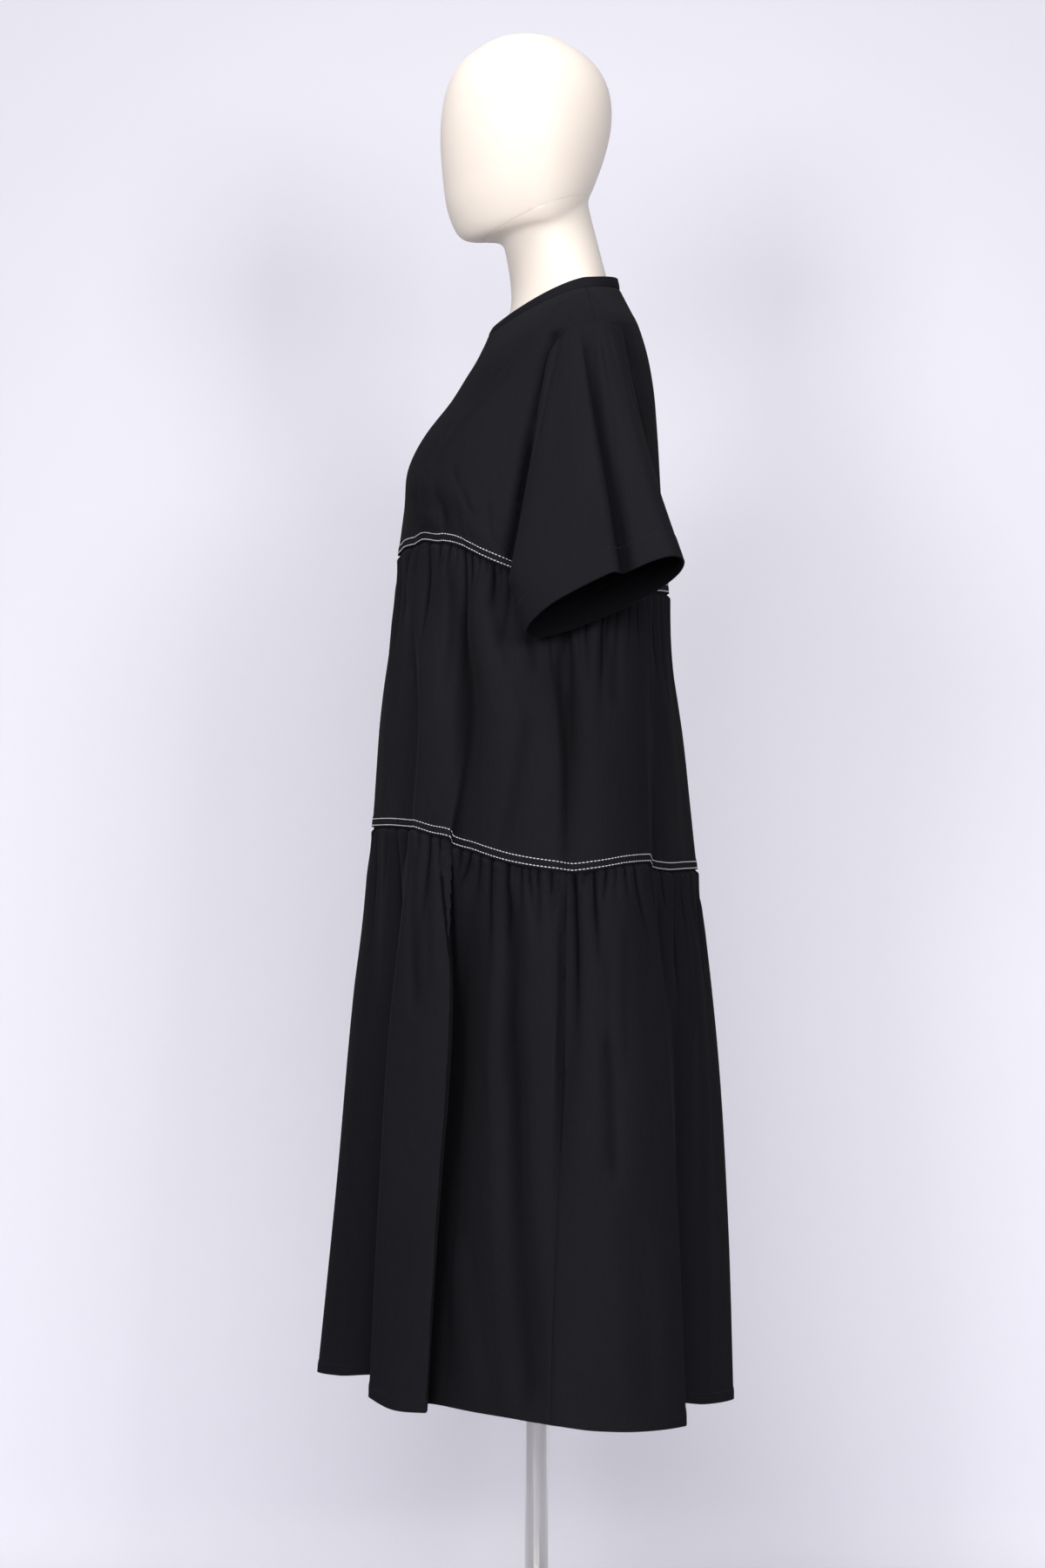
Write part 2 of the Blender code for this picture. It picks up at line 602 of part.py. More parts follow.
def off_seams(rows, closed=False):
    """The first and last rows moved square to their seams, just short of them."""
    spaced = list(rows)
    for end, inside in ((0, 1), (-1, -2)):
        middle, normal = rows[end]
        if closed:
            tangent = np.roll(middle, -1, axis=0) - np.roll(middle, 1, axis=0)
        else:
            tangent = np.gradient(middle, axis=0)
        square = np.cross(normal, tangent)
        square = square / np.linalg.norm(square, axis=-1, keepdims=True)
        if np.sum(square * (rows[inside][0][0] - middle[0])) < 0:
            square = -square
        spaced[end] = (middle + square * HALF_SEAM, normal)
    return spaced


def half_angles(columns, front, cut=0.0):
    """Angles across the front or back half, even along the cloth, less a cut at each end."""
    share = np.linspace(0.0, 0.5, columns + 1)
    angle = cut + (180.0 - 2 * cut) * even_angle(share) / 180.0
    return angle if front else -angle


def bodice_panel(name, surface, front, above, below, look):
    """Front or back bodice, cut away at both armholes."""
    rows = []
    for t in BODICE_ROWS:
        cut = 0.0
        if ARMHOLE_TOP <= t <= ARMHOLE_BOTTOM:
            cut = float(read_table(ARMHOLE, t)[0 if front else 1])
        neighbour = {0.0: above, 1.0: below}.get(t)
        rows.append(half_row(surface, t, half_angles(BODICE_COLUMNS, front, cut), neighbour))
    return cloth_wall(name, off_seams(rows), look)


def tier_panel(name, surface, front, table, above, below, look):
    """Front or back half of a tier: many columns in its gathers, fewer below."""
    length = table[-1][0]
    rows = []
    for distance, columns in table:
        t = distance / length
        neighbour = {0.0: above, 1.0: below}.get(t)
        rows.append(half_row(surface, t, half_angles(columns, front), neighbour))
    return cloth_wall(name, off_seams(rows), look)


def closed_rows(surface, ts, angle, neighbour=None):
    """Rows of a closed tube.  The neighbour shares its last row."""
    rows = []
    for t in ts:
        normal = seam_normals(surface, angle, t, neighbour if t == 1.0 else None)
        rows.append((surface(angle, t), normal))
    return rows


def mirrored(rows):
    """Rows on the other side of the body."""
    flip = np.array((-1.0, 1.0, 1.0))
    return [(middle * flip, normal * flip) for middle, normal in rows]


# ---------------------------------------------------------------- form and stand
def form_sections():
    """Rings of the form from its flat bottom to below the crown."""
    angle = even_angle(np.arange(FORM_SEGMENTS) / FORM_SEGMENTS)
    rings = [ring_point(read_table(FORM_TRUNK, t), angle) for t in FORM_TRUNK_ROWS]
    cloth = plain_surface(BODICE)
    for t, depth in FORM_SHOULDER_ROWS:
        inset = WALL / 2 + REST_CLEARANCE + depth
        rings.append(cloth(angle, t) - normals(cloth, angle, t) * inset)
    rings += [ring_point(read_table(FORM_HEAD, t), angle) for t in FORM_HEAD_ROWS]
    return rings


def make_form(look):
    """Torso, neck and faceless head, one closed body."""
    points, numbers = [], []
    for ring in form_sections():
        numbers.append(list(range(len(points), len(points) + len(ring))))
        points.extend(ring)
    faces = []
    for lower, upper in zip(numbers, numbers[1:]):
        faces += strip_faces(upper, lower, True)
    faces.append(tuple(numbers[0]))
    points.append(np.array(CROWN))
    top = numbers[-1] + numbers[-1][:1]
    faces += [(top[k], top[k + 1], len(points) - 1) for k in range(FORM_SEGMENTS)]
    return add_object("form_body", points, faces, look, sharp_angle=60.0)


def turned(name, profile, segments, look):
    """A solid of revolution about the Z axis from (radius, height) pairs, axis to axis."""
    points, rings, faces = [], [], []
    for radius, height in profile:
        ring = []
        for k in range(segments):
            angle = 2 * math.pi * k / segments
            ring.append(len(points))
            points.append((radius * math.cos(angle), radius * math.sin(angle), height))
        rings.append(ring)
    for lower, upper in zip(rings, rings[1:]):
        faces += strip_faces(upper, lower, True)
    faces.append(tuple(rings[0]))
    faces.append(tuple(rings[-1]))
    return add_object(name, points, faces, look, sharp_angle=30.0)


def make_stand(steel):
    """Base plate with its collar, and the pole that carries the form."""
    inner = BASE_RADIUS - BASE_CHAMFER
    turned("stand_base", (
        (inner, 0.0), (BASE_RADIUS, BASE_CHAMFER / 2), (BASE_RADIUS, BASE_THICKNESS - BASE_CHAMFER),
        (inner, BASE_THICKNESS), (COLLAR_RADIUS, BASE_THICKNESS),
        (COLLAR_RADIUS, BASE_THICKNESS + COLLAR_HEIGHT)), 40, steel)
    bottom = BASE_THICKNESS + COLLAR_HEIGHT + GAP
    turned("stand_pole", ((POLE_RADIUS, bottom), (POLE_RADIUS, FORM_BOTTOM - GAP)), 24, steel)


# ---------------------------------------------------------------- the whole object
def build():
    """All the pieces of the dress, the form and its stand."""
    for old in list(bpy.data.objects):
        bpy.data.objects.remove(old, do_unlink=True)
    black = material("black_cotton", (0.012, 0.012, 0.015), 0.75)
    cream = material("cream_form", (0.85, 0.78, 0.70), 0.45)
    steel = material("brushed_steel", (0.55, 0.55, 0.56), 0.3, 1.0)

    bodice = bodice_surface()
    binding = plain_surface(BAND)
    middle = tier_surface(MIDDLE_TIER, both_sides(MIDDLE_FOLDS), MIDDLE_GATHERS,
                          MIDDLE_LENGTH, waist_fold, knee_fold)
    lower = tier_surface(LOWER_TIER, both_sides(LOWER_FOLDS) + CENTRE_FOLDS_LOWER,
                         LOWER_GATHERS, LOWER_LENGTH, knee_fold)
    for half, front in (("front", True), ("back", False)):
        bodice_panel("bodice_" + half, bodice, front, (binding, 1.0), (middle, 0.0), black)
        tier_panel("middle_tier_" + half, middle, front, MIDDLE_ROWS, (bodice, 1.0),
                   (lower, 0.0), black)
        tier_panel("lower_tier_" + half, lower, front, LOWER_ROWS, (middle, 1.0), None, black)
    round_angles = np.linspace(0.0, 360.0, SLEEVE_COLUMNS, endpoint=False)
    sleeve = closed_rows(sleeve_surface(bodice), SLEEVE_ROWS, round_angles)
    cloth_wall("sleeve_left", sleeve, black, closed=True)
    cloth_wall("sleeve_right", mirrored(sleeve), black, closed=True)
    front_angles = half_angles(BODICE_COLUMNS, True)
    back_angles = 360.0 - front_angles[::-1]
    neck_angles = np.concatenate((front_angles[:-1], back_angles[:-1]))
    band = closed_rows(binding, (0.0, 1.0), neck_angles, (bodice, 0.0))
    cloth_wall("neck_binding", off_seams(band, closed=True), black, closed=True)
    make_form(cream)
    make_stand(steel)


build()
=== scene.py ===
import math

import bmesh
import bpy
import numpy as np
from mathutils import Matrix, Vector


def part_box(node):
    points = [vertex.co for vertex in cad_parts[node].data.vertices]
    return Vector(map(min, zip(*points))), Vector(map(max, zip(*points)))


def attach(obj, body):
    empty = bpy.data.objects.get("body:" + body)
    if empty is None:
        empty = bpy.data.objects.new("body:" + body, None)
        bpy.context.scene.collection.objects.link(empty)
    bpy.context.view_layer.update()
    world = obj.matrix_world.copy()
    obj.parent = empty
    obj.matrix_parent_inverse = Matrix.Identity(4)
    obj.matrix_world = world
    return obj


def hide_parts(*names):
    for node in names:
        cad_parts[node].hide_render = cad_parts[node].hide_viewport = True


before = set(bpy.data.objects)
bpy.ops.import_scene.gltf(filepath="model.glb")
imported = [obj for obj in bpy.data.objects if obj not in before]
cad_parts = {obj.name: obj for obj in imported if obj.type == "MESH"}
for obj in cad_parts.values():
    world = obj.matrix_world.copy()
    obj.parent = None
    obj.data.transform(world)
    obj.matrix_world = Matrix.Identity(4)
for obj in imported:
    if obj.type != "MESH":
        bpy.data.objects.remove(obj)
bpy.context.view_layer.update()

# ---------------------------------------------------------------- camera
# A level side view of the wearer's left, from six metres away.  One pixel of the
# 1200 x 1800 picture is 0.93 mm on the body's middle plane.
CAMERA_DISTANCE = 6.0
CAMERA_Y = -0.0149
CAMERA_HEIGHT = 0.96
PICTURE_HEIGHT = 1800 * 0.93e-3
SENSOR = 36.0
bpy.ops.object.camera_add(location=(CAMERA_DISTANCE, CAMERA_Y, CAMERA_HEIGHT),
                          rotation=(math.pi / 2, 0, math.pi / 2))
camera = bpy.context.object
camera.data.sensor_width = SENSOR
camera.data.lens = SENSOR * CAMERA_DISTANCE / PICTURE_HEIGHT
camera.data.clip_end = 40.0
bpy.context.scene.camera = camera


# ---------------------------------------------------------------- display form
# Torso, neck and faceless head of a display form: a moulded shell with a cream
# eggshell lacquer.  The head is let into the neck along a fine joint.
class Socket:
    """An output of a node.  Each operator on it adds the Math node for it."""

    def __init__(self, finish, output):
        self.finish = finish
        self.output = output

    def maths(self, operation, *values):
        return self.finish.node("ShaderNodeMath", {"operation": operation},
                                dict(enumerate(values)))

    def __add__(self, other):
        return self.maths("ADD", self, other)

    def __sub__(self, other):
        return self.maths("SUBTRACT", self, other)

    def __rsub__(self, other):
        return self.maths("SUBTRACT", other, self)

    def __mul__(self, other):
        return self.maths("MULTIPLY", self, other)

    def sine(self):
        return self.maths("SINE", self)

    __radd__ = __add__
    __rmul__ = __mul__


class Finish:
    """The material of one kind of surface, on a Principled shader."""

    def __init__(self, name, **fixed):
        self.material = bpy.data.materials.new(name)
        self.material.use_nodes = True
        self.tree = self.material.node_tree
        self.shader = self.tree.nodes["Principled BSDF"]
        self.surface({key.replace("_", " "): value for key, value in fixed.items()})

    def connect(self, value, socket):
        if isinstance(value, Socket):
            self.tree.links.new(value.output, socket)
        else:
            socket.default_value = value

    def node(self, kind, settings=None, inputs=None, output=0):
        made = self.tree.nodes.new(kind)
        for name, value in (settings or {}).items():
            setattr(made, name, value)
        for key, value in (inputs or {}).items():
            self.connect(value, made.inputs[key])
        return Socket(self, made.outputs[output])

    def surface(self, values):
        for name, value in values.items():
            self.connect(value, self.shader.inputs[name])

    def coordinates(self, kind, scale):
        """Object or UV coordinates, in metres, times a scale along each axis."""
        where = self.node("ShaderNodeTexCoord", output=kind)
        return self.node("ShaderNodeMapping", inputs={"Vector": where, "Scale": scale})

    def noise(self, where, scale, detail=2.0, roughness=0.5):
        return self.node("ShaderNodeTexNoise", inputs={
            "Vector": where, "Scale": scale, "Detail": detail, "Roughness": roughness})

    def mix(self, factor, low, high):
        """A colour between two, by a factor."""
        low, high = [end if isinstance(end, Socket) else (*end, 1.0) for end in (low, high)]
        return self.node("ShaderNodeMix", {"data_type": "RGBA"},
                         {0: factor, 6: low, 7: high}, output=2)

    def bump(self, height, distance, strength=1.0, **under):
        return self.node("ShaderNodeBump", inputs={
            "Height": height, "Distance": distance, "Strength": strength, **under})


def activate(piece):
    """Selects one piece alone."""
    if bpy.context.object and bpy.context.object.mode != "OBJECT":
        bpy.ops.object.mode_set(mode="OBJECT")
    bpy.ops.object.select_all(action="DESELECT")
    piece.select_set(True)
    bpy.context.view_layer.objects.active = piece


def select_where(piece, parts, test):
    """Selects the faces or edges of a piece that pass a test, in edit mode."""
    mesh = bmesh.from_edit_mesh(piece.data)
    for part in getattr(mesh, parts):
        part.select_set(bool(test(part)))
    bmesh.update_edit_mesh(piece.data)


def apply_modifier(piece, kind, **settings):
    """Adds a modifier to a piece, with its settings, and applies it."""
    activate(piece)
    added = piece.modifiers.new(kind.title(), kind)
    for name, value in settings.items():
        setattr(added, name, value)
    bpy.ops.object.modifier_apply(modifier=added.name)


def finish_piece(piece, name, finish, smooth_angle=40.0):
    """Names a piece, gives it its finish, and fixes it to the body."""
    activate(piece)
    bpy.ops.object.transform_apply(location=True, rotation=True, scale=True)
    bpy.ops.object.shade_smooth_by_angle(angle=math.radians(smooth_angle))
    piece.name = piece.data.name = name
    piece.data.materials.clear()
    piece.data.materials.append(finish.material)
    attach(piece, "root")


lacquer = Finish("cream_lacquer", Specular_IOR_Level=0.35, Subsurface_Weight=0.4,
                 Subsurface_Radius=(1.0, 0.8, 0.7), Subsurface_Scale=0.03)
lacquer_place = lacquer.coordinates("Object", (1.0, 1.0, 1.0))
lacquer_cloud = lacquer.noise(lacquer_place, 7.0, 3.0)
lacquer_grain = lacquer.noise(lacquer_place, 700.0, 2.0)
lacquer.surface({
    "Base Color": lacquer.mix(lacquer_cloud, (0.660, 0.590, 0.525), (0.706, 0.637, 0.570)),
    "Roughness": lacquer_cloud * 0.10 + 0.40,
    "Normal": lacquer.bump(lacquer_grain, 0.00008, 0.5),
})

form = bpy.data.objects.new("form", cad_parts["form_body"].data.copy())
bpy.context.collection.objects.link(form)
activate(form)
bpy.ops.mesh.customdata_custom_splitnormals_clear()
bpy.ops.object.mode_set(mode="EDIT")
bpy.ops.mesh.select_all(action="SELECT")
bpy.ops.mesh.remove_doubles(threshold=1e-5)
bpy.ops.mesh.tris_convert_to_quads(face_threshold=math.radians(70),
                                   shape_threshold=math.radians(70))
bpy.ops.object.mode_set(mode="OBJECT")
apply_modifier(form, "SUBSURF", levels=2, render_levels=2)

# The joint between head and neck, from the throat to the nape, and its rise on the cheek.
JOINT_THROAT = np.array((0.0, -0.0354, 1.5450))
JOINT_NAPE = np.array((0.0, 0.0539, 1.5822))
JOINT_CHEEK_SLOPE = np.array((0.055, 0.0, 0.0082))
JOINT_LEVELS = (1.50, 1.62)
JOINT_WIDTH = 0.0009
JOINT_DEPTH = 0.0007
ON_CUT = 2e-5               # how near to the joint's plane its cut is, and its groove
ON_GROOVE = 5e-5


def joint_plane(side):
    """The normal of the joint's plane on the left side, 1, or the right side, -1."""
    across = np.cross(JOINT_NAPE - JOINT_THROAT, JOINT_CHEEK_SLOPE * (side, 1, 1))
    return across / np.linalg.norm(across)


def at_joint(point, within=1.0):
    """Whether a point is level with the joint and that near to its plane."""
    off = np.array(point) - JOINT_THROAT
    distance = abs(np.dot(off, joint_plane(1 if point.x >= 0 else -1)))
    return JOINT_LEVELS[0] < point.z < JOINT_LEVELS[1] and distance < within


activate(form)
bpy.ops.object.mode_set(mode="EDIT")
for side in (1, -1):
    select_where(form, "faces", lambda face: (face.calc_center_median().x * side > 0
                                              and at_joint(face.calc_center_median())))
    bpy.ops.mesh.bisect(plane_co=JOINT_THROAT, plane_no=joint_plane(side))
bpy.ops.mesh.select_mode(type="EDGE")
bpy.ops.mesh.select_all(action="DESELECT")
select_where(form, "edges", lambda edge: all(at_joint(corner.co, ON_CUT) for corner in edge.verts))
bpy.ops.mesh.bevel(offset=JOINT_WIDTH, segments=2, affect="EDGES", clamp_overlap=True)
mesh = bmesh.from_edit_mesh(form.data)
mesh.normal_update()
for corner in mesh.verts:
    if at_joint(corner.co, ON_GROOVE):
        corner.co -= corner.normal * JOINT_DEPTH
bmesh.update_edit_mesh(form.data)
bpy.ops.object.mode_set(mode="OBJECT")
finish_piece(form, "display_form", lacquer, 60.0)
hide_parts("form_body")

# ---------------------------------------------------------------- stand
# A 25 mm pole of brushed stainless tube stands in a collar on a round 8 mm plate, both
# of the same steel.  The plate lies flat on the floor.
POLE_RADIUS = 0.0125
PLATE_RADIUS = 0.180
PLATE_THICKNESS = 0.008
COLLAR_RADIUS = 0.024
COLLAR_HEIGHT = 0.022
EDGE_ROUND = 0.0012
POLE_ROUND = 0.0006


def brushed(name, stretch):
    """Brushed stainless steel whose fine scratches run along the short scale."""
    steel = Finish(name, Metallic=1.0, Anisotropic=0.85, Anisotropic_Rotation=0.25)
    along = steel.coordinates("Object", stretch)
    scratch = steel.noise(along, 1.0, 4.0, 0.65)
    steel.surface({
        "Base Color": steel.mix(scratch, (0.46, 0.44, 0.43), (0.86, 0.84, 0.83)),
        "Roughness": scratch * 0.15 + 0.15,
        "Normal": steel.bump(scratch, 0.00004, 0.6),
    })
    return steel


pole_steel = brushed("brushed_steel_pole", (1800.0, 1800.0, 14.0))
plate_steel = brushed("brushed_steel_plate", (30.0, 2200.0, 60.0))

pole_low, pole_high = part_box("stand_pole")
bpy.ops.object.select_all(action="DESELECT")
bpy.ops.mesh.primitive_cylinder_add(vertices=96, radius=POLE_RADIUS,
                                    depth=pole_high.z - pole_low.z,
                                    location=(0, 0, (pole_high.z + pole_low.z) / 2))
pole = bpy.context.object
apply_modifier(pole, "BEVEL", width=POLE_ROUND, segments=2, limit_method="ANGLE")
finish_piece(pole, "pole", pole_steel)
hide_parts("stand_pole")

bpy.ops.object.select_all(action="DESELECT")
bpy.ops.mesh.primitive_cylinder_add(vertices=128, radius=PLATE_RADIUS, depth=PLATE_THICKNESS,
                                    location=(0, 0, PLATE_THICKNESS / 2))
plate = bpy.context.object
bpy.ops.object.mode_set(mode="EDIT")
bpy.ops.mesh.select_all(action="DESELECT")
select_where(plate, "faces", lambda face: face.normal.z > 0.9)
bpy.ops.mesh.inset(thickness=PLATE_RADIUS - COLLAR_RADIUS)
bpy.ops.mesh.extrude_region_move(TRANSFORM_OT_translate={"value": (0, 0, COLLAR_HEIGHT)})
bpy.ops.object.mode_set(mode="OBJECT")
apply_modifier(plate, "BEVEL", width=EDGE_ROUND, segments=3, limit_method="ANGLE")
finish_piece(plate, "base_plate", plate_steel)
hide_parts("stand_base")

# ---------------------------------------------------------------- bodice
# Front and back of the bodice, cut from black cotton poplin and joined at shoulders and
# sides.  They lie on the form's shoulders, hang loose below the bust, and carry the
# folded seam allowance of the first gathered seam along their lower edge.
MM = 0.001
CLOTH = 0.9 * MM            # thickness of the shell that stands for one layer
LAYERS = 1.9 * MM           # and where a hem or an allowance is folded under it
SEAM_HALF = 0.5 * MM        # a panel's edge to the middle of its seam
SEAM_ROLL = 1.0 * MM        # how far the cloth turns in at a seam, and over what width
SEAM_ROLL_WIDTH = 2.6 * MM
SEAM_TURN = 3.0 * MM        # what shows inside of the allowance
ALLOWANCE = 10.5 * MM
ANGLE_STEP = 0.35           # degrees, over which a surface's directions are read
BODICE_COLUMNS = 178
WAIST_GATHERS = 84          # gathers all round the waist seam
PUCKER = 0.3 * MM           # ripple that each makes above the seam, and how far it runs
PUCKER_REACH = 0.02
BODICE_SECTIONS = (
    # t,   front_y, front_z, side_x, side_y, side_z, back_y, back_z, square, rise
    (0.00, -0.0510, 1.4370, 0.0800, 0.0520, 1.4835, 0.0884, 1.4870, 1.00, 1.35),
    (0.09, -0.0570, 1.4230, 0.1400, 0.0550, 1.4660, 0.1005, 1.4620, 0.92, 1.45),
    (0.17, -0.0670, 1.4030, 0.2030, 0.0596, 1.4376, 0.1085, 1.4440, 0.85, 1.70),
    (0.22, -0.0750, 1.3900, 0.2080, 0.0540, 1.4200, 0.1145, 1.4260, 0.82, 1.90),
    (0.34, -0.0920, 1.3630, 0.2100, 0.0420, 1.3720, 0.1235, 1.3840, 0.80, 2.00),
    (0.47, -0.1180, 1.3290, 0.2150, 0.0320, 1.3160, 0.1280, 1.3360, 0.80, 2.00),
    (0.62, -0.1360, 1.2950, 0.2260, 0.0270, 1.2500, 0.1314, 1.2800, 0.84, 2.00),
    (0.80, -0.1405, 1.2560, 0.2370, 0.0270, 1.2080, 0.1346, 1.2260, 0.92, 2.00),
    (1.00, -0.1455, 1.2110, 0.2450, 0.0280, 1.1680, 0.1386, 1.1710, 1.00, 2.00),
)
ARMHOLE = (
    # t, degrees from the side seam to the front and to the back edge
    (0.17, 0.0, 0.0),
    (0.18, 5.0, 19.0),
    (0.22, 10.0, 26.0),
    (0.34, 11.0, 32.0),
    (0.47, 8.5, 29.0),
    (0.57, 4.5, 15.0),
    (0.62, 0.0, 0.0),
)
# Soft ridges and troughs.  Columns: the line's angle at top, middle and bottom of the
# piece; its half widths toward the front and toward the back, each at top and bottom,
# in degrees; its height at top, middle and bottom in millimetres; how crisp it is, from
# 0 to 1; and how far it leans toward the front, in millimetres.
BODICE_FOLDS = (
    ((66, 64, 63), (24, 24), (22, 22), (0.0, 0.5, 2.0), 0.0, 0.0),
    ((60, 56, 52), (12, 12), (8, 8), (0.0, 1.0, 5.0), 0.2, 0.0),
    ((50, 49, 46), (4, 5), (5, 7), (0.0, -1.0, -4.5), 0.2, 0.0),
    ((38, 34, 30), (9, 9), (8, 8), (0.0, 0.5, 3.0), 0.0, 0.0),
    ((26, 20, 16), (6, 6), (6, 6), (0.0, 0.0, -2.0), 0.0, 0.0),
    ((-24, -22, -20), (10, 10), (10, 10), (0.0, 0.5, 3.0), 0.0, 0.0),
    ((-52, -51, -50), (8, 8), (7, 7), (0.0, -1.0, -5.0), 0.1, 0.0),
    ((-64, -64, -63), (8, 8), (8, 8), (0.0, 0.5, 3.0), 0.0, 0.0),
)
# Creases that the cloth's own pull makes: t and angle where each starts and ends, its
# half width in millimetres and its height in millimetres.
BODICE_CREASES = (
    ((0.035, 2.0), (0.075, 15.0), 5.0, 1.5),
    ((0.075, 15.0), (0.20, 22.5), 5.5, 2.2),
    ((0.20, 22.5), (0.31, 35.0), 6.0, 2.6),
    ((0.31, 35.0), (0.44, 48.5), 6.5, 2.8),
    ((0.44, 48.5), (0.62, 56.0), 8.0, 2.4),
    ((0.62, 56.0), (0.95, 60.0), 9.0, 2.0),
    ((0.055, 22.0), (0.24, 33.0), 3.6, 1.2),
    ((0.24, 33.0), (0.465, 52.0), 3.6, 1.5),
    ((0.10, 19.5), (0.27, 32.0), 2.8, -0.9),
    ((0.13, 38.0), (0.30, 49.0), 3.4, 1.0),
    ((0.08, 56.0), (0.30, 60.0), 3.2, 0.8),
    ((0.49, 53.0), (0.95, 49.0), 5.0, 1.8),
    ((0.64, 53.0), (0.955, 63.0), 4.5, 1.5),
    ((0.57, 42.0), (0.77, 31.0), 6.0, -1.7),
    ((0.65, 24.0), (0.90, 25.0), 5.0, -1.3),
    ((0.60, 38.0), (0.97, 36.0), 6.0, 1.2),
    ((0.20, 13.0), (0.46, 10.3), 12.0, -9.0),
    ((0.46, 10.3), (0.66, 12.8), 13.0, -10.0),
    ((0.66, 12.8), (0.96, 19.5), 13.0, -9.0),
    ((0.135, 8.5), (0.170, 9.0), 2.8, -1.2),
    ((0.135, 2.8), (0.165, 2.8), 2.8, -1.0),
    ((0.130, -6.0), (0.168, -8.0), 3.0, -0.9),
    ((0.035, -2.0), (0.11, -10.0), 6.0, 1.6),
    ((0.11, -10.0), (0.24, -28.0), 6.5, 2.6),
    ((0.24, -28.0), (0.50, -55.0), 7.5, 3.0),
    ((0.24, -33.0), (0.50, -44.0), 8.0, -6.0),
)
RIGHT_TURN = -3.0           # the right side's folds are that many degrees off the mirror
RIGHT_HEIGHT = 0.85
BUST_ANGLE = 62.0
BUST_SPREAD = 26.0
BUST_HEIGHT = 6 * MM
# Fold lines of the dress where they cross the waist seam, from the front centre round
# the left side to the back centre: the angle of each, how far it stands out, lies along
# toward the front, and is drawn up, in millimetres.  The other plans follow the same lines.
WAIST_PLAN = (
    (90, 1.5, 0, -7.5), (80.5, 0, -4.5, -4), (78, -0.5, -7, -1), (68, -2, -12.5, 5),
    (61.5, -1.5, -12.5, 12.5), (50.5, 1, -10, 17), (48, 0.5, -9.5, 19), (40, 1, -7.5, 20.5),
    (27.5, 3, -4, 14), (11.5, 1, -3, 2.5), (0, -1, 0, -6.5), (-6, -1, -3, -9),
    (-13.5, 0, -7, -10.5), (-29, 0, -12, -11), (-49, -2, -8.5, -10), (-53.5, -2.5, -7.5, -10),
    (-68.5, -2, 0.5, -9), (-78.5, -1, 1, -8.5), (-90, 2, 0, -8),
)
# How crisp the bend in the cloth is at each of these lines.
MIDDLE_CRISP = (0, 0.4, 0, 0.8, 0, 0, 0, 0, 0, 0, 0.6, 0, 0, 0, 0.7, 0.3, 0.4, 0, 0)


def smooth(x):
    """0 below 0, 1 above 1, with a soft start and end."""
    x = np.clip(x, 0.0, 1.0)
    return x * x * (3.0 - 2.0 * x)


def bump(x):
    """1 at 0, falling softly to 0 at -1 and 1."""
    return np.cos(np.pi * np.clip(x, -1.0, 1.0) / 2) ** 2


def turn(angle):
    """The angle in degrees, between -180 and 180."""
    return (angle + 180.0) % 360.0 - 180.0


def read_table(table, t):
    """A table's columns after the first, read at t along smooth curves."""
    knots = np.array([row[0] for row in table])
    values = np.array([row[1:] for row in table])
    slopes = np.gradient(values, knots, axis=0)
    t = np.clip(np.asarray(t, float), knots[0], knots[-1])
    i = np.clip(np.searchsorted(knots, t, side="right") - 1, 0, len(knots) - 2)
    step = (knots[i + 1] - knots[i])[..., None]
    x = (t - knots[i])[..., None] / step
    start = (1 + 2 * x) * (1 - x) ** 2 * values[i] + x * (1 - x) ** 2 * step * slopes[i]
    end = x * x * (3 - 2 * x) * values[i + 1] + x * x * (x - 1) * step * slopes[i + 1]
    return start + end


def section_surface(table):
    """The surface P(angle, t) through a table of oval sections."""
    def surface(angle, t):
        angle, t = np.broadcast_arrays(np.asarray(angle, float), np.asarray(t, float))
        columns = np.moveaxis(read_table(table, t), -1, 0)
        front_y, front_z, side_x, side_y, side_z, back_y, back_z, square, rise = columns
        cosine, sine = np.cos(np.radians(angle)), np.sin(np.radians(angle))
        end_y = np.where(sine >= 0, front_y, back_y)
        end_z = np.where(sine >= 0, front_z, back_z)
        x = side_x * np.sign(cosine) * np.abs(cosine) ** square
        y = side_y + (end_y - side_y) * np.abs(sine) ** square
        z = side_z + (end_z - side_z) * np.abs(sine) ** rise
        return np.stack((x, y, z), axis=-1)
    return surface


def unit(vectors):
    return vectors / np.maximum(np.linalg.norm(vectors, axis=-1, keepdims=True), 1e-12)


def directions(surface, angle, t, angle_step=ANGLE_STEP, t_step=0.004):
    """Unit vectors out of the cloth, round it and down it."""
    angle, t = np.broadcast_arrays(np.asarray(angle, float), np.asarray(t, float))
    low, high = np.clip(t - t_step, 0, 1), np.clip(t + t_step, 0, 1)
    around = unit(surface(angle + angle_step, t) - surface(angle - angle_step, t))
    down = unit(surface(angle, high) - surface(angle, low))
    return unit(np.cross(around, down)), around, down


def three(values, t):
    """A value given at the top, the middle and the bottom, read at t."""
    top, middle, bottom = values
    return (top * (1 - t) * (1 - 2 * t) + middle * 4 * t * (1 - t) + bottom * t * (2 * t - 1))


def fold_shape(folds, angle, t):
    """Height and lean of a fold table, in metres."""
    shape = np.broadcast(angle, t).shape
    height, lean = np.zeros(shape), np.zeros(shape)
    for line, ahead, behind, heights, crisp, forward in folds:
        off = turn(angle - three(line, t))
        width = np.where(off > 0, ahead[0] + (ahead[1] - ahead[0]) * t,
                         behind[0] + (behind[1] - behind[0]) * t)
        x = np.abs(off / width)
        form = (1 - crisp) * bump(x) + crisp * np.maximum(1 - x, 0.0) ** 2
        height += three(heights, t) * form
        lean += forward * form
    return height * MM, lean * MM


